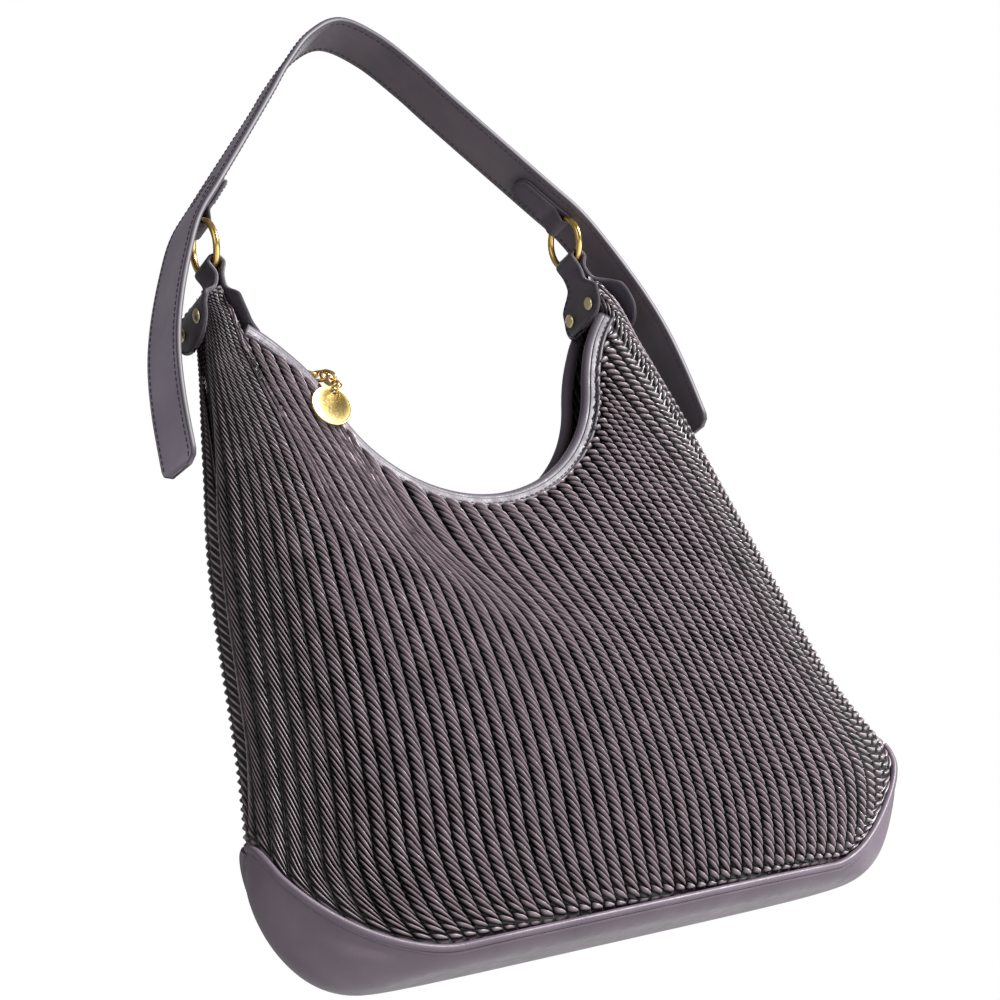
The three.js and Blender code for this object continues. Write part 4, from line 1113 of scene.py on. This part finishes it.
def loop_stitches(ribbon, end, from_end, name):
    """A U of stitches by the loop's sewn end, on both its faces and on the strap's outer face."""
    pile = Pile()
    reach, inset = LOOP["half_width"], LOOP["half_width"] - 1.9 * MM
    turn = np.linspace(-math.pi / 2, math.pi / 2, 15)
    u_run = np.concatenate([[24 * MM], reach - inset * np.cos(turn), [24 * MM]])
    u_side = np.concatenate([[-inset], inset * np.sin(turn), [inset]])
    for face in (-1, 1):
        ribbon.stitch(pile, u_run, u_side, face, length=2.4 * MM, gap=1.0 * MM)
    outer = strap_ribbons["outer"]
    start = from_end if end == RIGHT else outer.run[-1] - from_end
    outer.stitch(pile, start - end * u_run, u_side, -towards_arm, length=2.4 * MM, gap=1.0 * MM)
    pile.build(f"loop_{name}_stitches", dark_thread, "strap")


for end, end_name in ENDS:
    ring_loop(end, end_name)

# ---- pieces shown as the frame has them

plain_nodes = {
    "lining_front": lining_cloth, "lining_back": lining_cloth, "lining_floor": lining_cloth,
    "zip_tape_front": tape_cloth, "zip_tape_back": tape_cloth, "base_board": fibre_board,
    "zip_stop_left": gold, "zip_stop_right_front": gold, "zip_stop_right_back": gold,
}
for node, material in plain_nodes.items():
    frame["nodes"][node].data.materials.clear()
    frame["nodes"][node].data.materials.append(material)

# ---- studio and camera

AZIMUTH, ELEVATION, ROLL = math.radians(35), math.radians(-17.9), math.radians(17.2)
DISTANCE = 1.282
LENS, SENSOR = 79.6, 36.0  # in millimetres, as Blender wants them
look_at = np.array([foot_x + 7.9 * MM, 0, 259 * MM])
FLOOR = {"reach": 6.0, "below": 0.2}
ROOM_LIGHT = 0.24  # the light of the plain white room, less than the backdrop shows


def studio():
    """A pale floor some way below the bag, and a room that looks white but lights it only a little."""
    mesh = bpy.data.meshes.new("floor")
    corners = [(x * FLOOR["reach"], y * FLOOR["reach"], -FLOOR["below"])
               for x, y in ((-1, -1), (1, -1), (1, 1), (-1, 1))]
    mesh.from_pydata(corners, [], [(0, 1, 2, 3)])
    s = Shader("floor_paint")
    s.to("Base Color", s.blend(s.noise(3), (0.86, 0.86, 0.87), (0.90, 0.90, 0.91)))
    s.set(Roughness=0.7)
    mesh.materials.append(s.material)
    floor = in_scene("floor", mesh)
    world = bpy.data.worlds.new("studio")
    world.use_nodes = True
    tree = world.node_tree
    seen = tree.nodes.new("ShaderNodeLightPath").outputs["Is Camera Ray"]
    strength = tree.nodes.new("ShaderNodeMapRange")
    strength.inputs["To Min"].default_value = ROOM_LIGHT
    strength.inputs["To Max"].default_value = 1.0
    tree.links.new(seen, strength.inputs["Value"])
    backdrop = tree.nodes["Background"]
    backdrop.inputs["Color"].default_value = (1, 1, 1, 1)
    tree.links.new(strength.outputs["Result"], backdrop.inputs["Strength"])
    bpy.context.scene.world = world
    bpy.context.scene.view_settings.view_transform = "Standard"


def softbox(name, place, target, width, watts):
    light = bpy.data.lights.new(name, "AREA")
    light.shape = "DISK"
    light.size = width
    light.energy = watts
    obj = in_scene(name, light)
    obj.location = place
    obj.rotation_mode = "QUATERNION"
    obj.rotation_quaternion = (Vector(target) - Vector(place)).to_track_quat("-Z", "Y")


def camera():
    """Below and to the left of the bag's front, rolled so that the bag leans as it does in the photograph."""
    back = np.array([-math.sin(AZIMUTH) * math.cos(ELEVATION), -math.cos(AZIMUTH) * math.cos(ELEVATION),
                     math.sin(ELEVATION)])
    place = look_at + back * DISTANCE
    right = unit(np.cross(-back, UP))
    up = np.cross(right, -back)
    rolled_right = math.cos(ROLL) * right - math.sin(ROLL) * up
    rolled_up = math.cos(ROLL) * up + math.sin(ROLL) * right
    cam = in_scene("camera", bpy.data.cameras.new("camera"))
    cam.data.lens = LENS
    cam.data.sensor_width = SENSOR
    cam.data.clip_start, cam.data.clip_end = 0.05, 50
    matrix = np.eye(4)
    matrix[:3, 0], matrix[:3, 1], matrix[:3, 2], matrix[:3, 3] = rolled_right, rolled_up, back, place
    cam.matrix_world = Matrix(matrix.tolist())
    bpy.context.scene.camera = cam


studio()
bag_middle = (0, 0, 0.25)
softbox("key", (1.35, -1.4, 1.1), bag_middle, 0.3, 92)
softbox("fill", (-1.5, -0.9, 0.9), bag_middle, 1.2, 4)
softbox("rim", (0.9, 1.3, 1.3), bag_middle, 0.8, 4)
camera()
